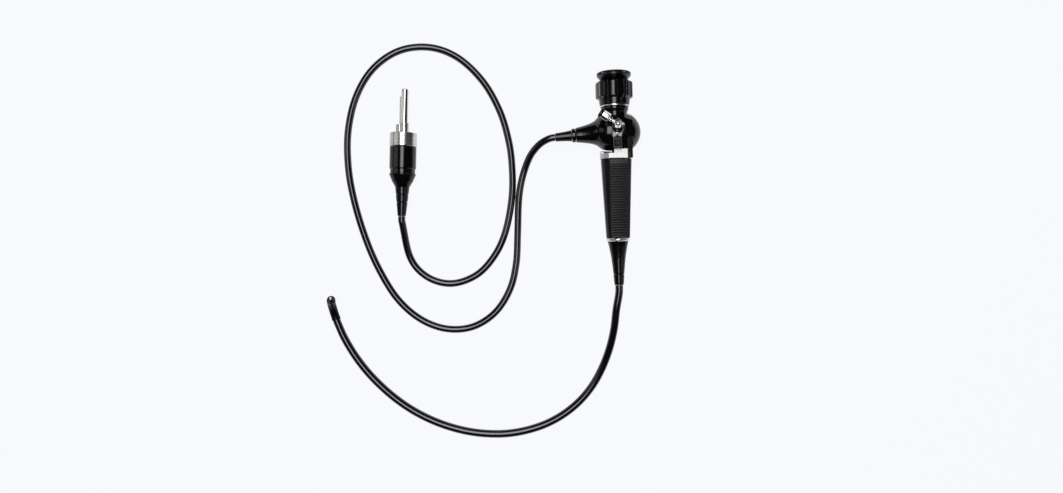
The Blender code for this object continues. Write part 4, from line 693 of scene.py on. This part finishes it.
def stopcock_lever():
    """The stopcock's turned plug and hub, a thin arm and the knob at its end."""
    hub = lathe([(0, -3.0), (1.3, -3.0), (1.3, 0.3), (2.2, 0.3), (2.2, 1.6), (0, 1.6)], HANDLE,
                steps=48, radius=0.25)
    arm = lathe([(0, 0.0), (0.9, 0.0), (0.62, 3.0), (0.62, 5.2), (0, 5.2)],
                HANDLE @ shift(0, 0, HANDLE_HEIGHT) @ turn(90, "Y"), steps=32, radius=0.2)
    knob = bmesh.new()
    bmesh.ops.create_uvsphere(knob, u_segments=40, v_segments=24, radius=KNOB_RADIUS * MM,
                              matrix=HANDLE @ shift(KNOB_REACH, 0, HANDLE_HEIGHT))
    finished("stopcock_lever", joined(hub, arm, knob), PLATED, "stopcock",
             ["stopcock_handle"])


def screw_ring():
    """The screw ring of the inlet: flats with rounded ends."""
    lowest = math.cos(math.pi / NUT_FLATS)

    def flat_wave(share):
        return (lowest / math.cos((share - 0.5) * math.tau / NUT_FLATS) - lowest) / (1 - lowest)

    levels = [(2.2, 2.2, 9.4), (3.7, 3.7, 9.4), (4.0, 3.85, 9.65), (4.3, 4.3 * lowest, 10.1),
              (4.3, 4.3 * lowest, 15.9), (4.0, 3.85, 16.35), (3.7, 3.7, 16.6), (3.2, 3.2, 16.6),
              (3.2, 3.2, 10.3), (2.2, 2.2, 10.3)]
    bm = waved(levels, count=NUT_FLATS, steps=10, wave=flat_wave,
               matrix=INLET @ turn(180 / NUT_FLATS, "Z"))
    finished("inlet_screw_ring", bm, PLATED, "nut", ["luer_nut"])


def cable_side():
    """The collar on the bell and the short tapered sleeve behind it."""
    start = COLLAR_START
    collar = [(3.2, start), (6.0, start), (6.4, start + 0.4), (6.4, start + 3.0),
              (6.0, start + 3.4), (3.2, start + 3.4)]
    turned("cable_collar_shell", collar, BELL, GLOSS, "scope", "gloss_black", ["cable_collar"],
           closed=True, radius=0.3)
    start = RELIEF_START
    relief = [(2.4, start), (5.2, start), (4.85, start + 2.5), (4.55, start + 5),
              (4.15, start + 10), (3.85, start + RELIEF_LENGTH), (2.4, start + RELIEF_LENGTH)]
    turned("cable_relief", relief, BELL, BOOT, "scope", "rubber_black", ["strain_relief"],
           closed=True, radius=0.3)


def connector():
    """The light-guide connector: ring, barrel, stepped rubber sleeve, prong and pin."""
    ring = [(10.1, 0), (12.2, 0), (12.7, -0.5), (12.7, -12.4), (12.3, -12.8), (10.1, -12.8)]
    turned("connector_ring_shell", ring, CONNECTOR, CONNECTOR_TURNED, "scope", "brushed_steel",
           ["connector_ring"], closed=True, steps=128, radius=0.25)
    barrel = [(5.0, -13.1), (12.25, -13.1), (12.4, -13.4), (12.4, -33.2), (11.6, -33.8),
              (11.6, -37.8), (5.0, -37.8)]
    turned("connector_barrel", barrel, CONNECTOR, GLOSS, "scope", "gloss_black",
           ["connector_body"], closed=True, steps=128, radius=0.4)
    sleeve = [(4.4, -38.1), (12.4, -38.1), (12.3, -39.1), (11.9, -40.1), (10.7, -42.8),
              (9.7, -45.3), (8.4, -47.4), (7.5, -48.8), (SLEEVE_WIDE, SLEEVE_SHOULDER)]
    for share in (0.26, 0.52):
        radius = SLEEVE_WIDE - (SLEEVE_WIDE - SLEEVE_NARROW) * share
        middle = SLEEVE_SHOULDER - SLEEVE_TAPER * share
        sleeve += [(radius + 0.1, middle + 0.6), (radius - 0.35, middle + 0.3),
                   (radius - 0.35, middle - 0.3), (radius - 0.05, middle - 0.6)]
    sleeve += [(SLEEVE_NARROW, CONNECTOR_END), (3.45, CONNECTOR_END), (3.45, -74.6)]
    turned("connector_sleeve", sleeve, CONNECTOR, BOOT, "scope", "rubber_black",
           ["connector_boot"], closed=True, steps=112, radius=0.22)
    dress(CONNECTOR_TURNED, "connector_plate")
    prong_frame = CONNECTOR @ Matrix.Translation(PRONG_PLACE)
    prong = [(0, PLATE_BACK), (3.4, PLATE_BACK), (3.4, 40.4), (2.95, 41.0), (2.4, 41.0),
             (2.4, 39.8), (0, 39.8)]
    turned("light_guide_prong", prong, prong_frame, PLATED, "scope", "bright_steel",
           ["light_prong"], radius=0.2)
    window = [(0, 39.8), (2.35, 39.8), (2.35, 40.1), (2.0, 40.25), (0, 40.4)]
    turned("light_guide_window", window, prong_frame, GLASS, "scope", "lens_glass",
           steps=48, radius=0.1)
    pin = [(0, PLATE_BACK), (1.7, PLATE_BACK), (1.7, 34.4), (1.2, 35.0), (0, 35.2)]
    turned("locating_rod", pin, CONNECTOR @ Matrix.Translation(PIN_PLACE), PLATED, "scope",
           "bright_steel", ["locating_pin"], radius=0.3, steps=64)


def smooth_route(points, count):
    """Even points on a smooth curve through the route's own points."""
    padded = [2 * points[0] - points[1], *points, 2 * points[-1] - points[-2]]
    fine = []
    for a, b, c, d in zip(padded, padded[1:], padded[2:], padded[3:]):
        for i in range(ROUTE_STEPS):
            t = i / ROUTE_STEPS
            fine.append(0.5 * (2 * b + (c - a) * t + (2 * a - 5 * b + 4 * c - d) * t * t
                               + (3 * b - a - 3 * c + d) * t ** 3))
    fine.append(points[-1])
    runs = [0.0]
    for a, b in zip(fine, fine[1:]):
        runs.append(runs[-1] + (b - a).length)
    even, at = [], 0
    for i in range(count + 1):
        want = runs[-1] * i / count
        while at < len(runs) - 2 and runs[at + 1] < want:
            at += 1
        share = (want - runs[at]) / (runs[at + 1] - runs[at])
        even.append(fine[at].lerp(fine[at + 1], min(share, 1.0)))
    return even


def cord(name, points, radius, stands_for):
    """A round cord on one open line, with closed ends."""
    line = bpy.data.curves.new(name, "CURVE")
    line.dimensions = "3D"
    line.bevel_depth = radius * MM
    line.bevel_resolution = 8
    line.use_fill_caps = True
    spline = line.splines.new("POLY")
    spline.points.add(len(points) - 1)
    for target, point in zip(spline.points, points):
        target.co = (*point, 1)
    spline.use_smooth = True
    line.materials.append(SHEATH)
    piece = bpy.data.objects.new(name, line)
    bpy.context.collection.objects.link(piece)
    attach(piece, "scope")
    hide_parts(stands_for)
    return piece


def run_length(points):
    return sum((b - a).length for a, b in zip(points, points[1:]))


def on_axis(part, along):
    """The point at a station of a part's axis."""
    return part @ Vector((0, 0, along * MM))


def cords():
    relief_end = RELIEF_START + RELIEF_LENGTH
    start, end = on_axis(BELL, relief_end + GAP), on_axis(CONNECTOR, CONNECTOR_END - GAP)
    route = [on_axis(BELL, relief_end + 3.0), *[Vector(point) * MM for point in CABLE_ROUTE],
             on_axis(CONNECTOR, CONNECTOR_END - 4.0)]
    points = [start, *smooth_route(route, 320), end]
    cable = cord("light_guide_lead", points, CABLE_RADIUS, "light_guide_cable")
    pieces = ["connector_ring_shell", "connector_barrel", "connector_sleeve", "connector_plate",
              "light_guide_prong", "light_guide_window", "locating_rod"]
    run_length(points)

    start, end = on_axis(BODY, BODY_END + GAP), on_axis(BEND, -GAP)
    route = [start + Vector((0, -3 * MM, 0)), *[Vector(point) * MM for point in TUBE_ROUTE],
             on_axis(BEND, -4)]
    points = [start, *smooth_route(route, 180), end]
    tube = cord("working_tube", points, TUBE_RADIUS, "insertion_tube")
    pieces = [f"bend_sleeve_{i}" for i in range(1, BEND_JOINTS + 1)]
    pieces += ["bend_ferrule", *[f"link_{i}" for i in range(1, BEND_JOINTS)], "distal_tip",
               "objective_lens", "light_lens_left", "light_lens_right", "tip_binding",
               "tube_binding"]
    run_length(points)


def bend_axis(i):
    """The frame of the i-th riveted joint as it lies, from 1."""
    matrix = BEND @ shift(0, 0, FERRULE_REACH) @ turn(BEND_REST, "X")
    for _ in range(i - 1):
        matrix = matrix @ shift(0, 0, BEND_PITCH) @ turn(BEND_REST, "X")
    return matrix


def sleeve_hoops(first, last, middle, radius):
    """Hoops along one joint of the rubber, from the middle of a link to that of the next."""
    hoops = []
    for k in range(HOOP_STEPS + 1):
        share = k / HOOP_STEPS
        facing = first.to_quaternion().slerp(last.to_quaternion(), share)
        spot = curve_through(first.translation, middle, last.translation, share)
        hoops.append((Matrix.Translation(spot) @ facing.to_matrix().to_4x4(), radius))
    return hoops


def bending_section():
    """The rubber over the links, one stretch for each joint, and the rigid tip."""
    half = BEND_PITCH / 2
    for i in range(1, BEND_JOINTS + 1):
        here = bend_axis(i)
        first = here @ turn(-BEND_REST, "X") @ shift(0, 0, -half)
        last = here @ shift(0, 0, half)
        centre = here.translation
        outer = sleeve_hoops(first, last, centre, SHEATH_RADIUS)
        inner = sleeve_hoops(first, last, centre, SHEATH_RADIUS - SHEATH_WALL)
        bm = bmesh.new()
        rings = []
        for station, radius in outer + inner[::-1]:
            made = bmesh.ops.create_circle(bm, segments=48, radius=radius * MM, matrix=station)
            rings.append(list({edge for vert in made["verts"] for edge in vert.link_edges}))
        close_skin(bm, rings)
        bmesh.ops.recalc_face_normals(bm, faces=bm.faces)
        sleeve = finished(f"bend_sleeve_{i}", bm, COVER_RUBBER, None,
                          ["bending_cover"] if i == 1 else ())
        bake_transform(sleeve)
    dress(PLATED, "bend_ferrule", *[f"link_{i}" for i in range(1, BEND_JOINTS)])
    binding = [(3.6, -0.9), (4.05, -0.9), (4.1, -0.6), (4.1, 0.9), (4.05, 1.2), (3.6, 1.2)]
    turned("tube_binding", binding, BEND, COVER_RUBBER, "scope", "rubber_black",
           closed=True, radius=0.15, steps=64)
    binding = [(radius - 0.1, along + 1.1) for radius, along in binding]
    turned("tip_binding", binding, bend_axis(BEND_JOINTS), COVER_RUBBER, "tip", "rubber_black",
           closed=True, radius=0.15, steps=64)
    dress(SATIN, "distal_tip")
    dress(GLASS, "objective_lens")
    dress(FROSTED, "light_lens_left", "light_lens_right")


def camera():
    """Looks straight down on the table."""
    eye = bpy.data.cameras.new("camera")
    eye.lens = CAMERA_LENS
    eye.sensor_width = 36.0
    eye.clip_start = 0.01
    eye.clip_end = 20.0
    stand = bpy.data.objects.new("camera", eye)
    stand.location = CAMERA_PLACE
    stand.rotation_euler = (0, 0, math.radians(CAMERA_TURN))
    bpy.context.collection.objects.link(stand)
    bpy.context.scene.camera = stand


def lamp(name, place, aim, width, height, power):
    """A softbox that doesn't show in the picture itself."""
    light = bpy.data.lights.new(name, "AREA")
    light.shape = "RECTANGLE"
    light.size = width
    light.size_y = height
    light.energy = power
    holder = bpy.data.objects.new(name, light)
    holder.location = place
    holder.rotation_euler = (Vector(place) - Vector(aim)).to_track_quat("Z", "Y").to_euler()
    holder.visible_camera = False
    bpy.context.collection.objects.link(holder)


def table():
    """A pale floor that camera, mirrors and glass see as evenly lit, with the object's shadow."""
    bm = bmesh.new()
    bmesh.ops.create_grid(bm, x_segments=1, y_segments=1, size=FLOOR_HALF)
    mesh = bpy.data.meshes.new("floor")
    bm.to_mesh(mesh)
    bm.free()
    floor = bpy.data.objects.new("floor", mesh)
    bpy.context.collection.objects.link(floor)
    look = Finish("floor_paper", Base_Color=(0.80, 0.815, 0.85, 1.0), Roughness=0.9,
                  Specular_IOR_Level=0.1)
    rays = look.node("ShaderNodeLightPath", {})
    seen = Value(look, rays.outputs["Is Camera Ray"]) + Value(look, rays.outputs["Is Glossy Ray"])
    seen = seen + Value(look, rays.outputs["Is Transmission Ray"])
    glow = look.node("ShaderNodeEmission", {}, (0.966, 0.974, 1.0, 1.0), 1.0)
    share = look.node("ShaderNodeMixShader", {}, seen * 0.95, look.shader.outputs[0],
                      glow.outputs[0])
    surface = look.tree.nodes["Material Output"].inputs["Surface"]
    look.tree.links.new(share.outputs[0], surface)
    mesh.materials.append(look.material)


def lighting():
    """A softbox high above the eyepiece's side, two weak side boxes and a faint pale room."""
    aim = (-0.07, -0.06, 0.0)
    lamp("overhead_box", (-0.17, 0.25, 1.45), (-0.17, 0.25, 0), 0.6, 1.4, power=14.5)
    lamp("left_box", (-1.3, 0.2, 0.75), aim, 0.5, 1.0, power=1.2)
    lamp("right_box", (1.2, -0.3, 0.8), aim, 0.4, 1.0, power=0.8)
    world = bpy.data.worlds.new("studio")
    world.use_nodes = True
    background = world.node_tree.nodes["Background"]
    background.inputs["Color"].default_value = (0.9, 0.93, 1.0, 1.0)
    background.inputs["Strength"].default_value = 0.03
    bpy.context.scene.world = world
    bpy.context.scene.view_settings.view_transform = "Standard"


camera()
eyepiece()
control_section()
grip()
port()
cable_side()
connector()
bending_section()
cords()
table()
lighting()
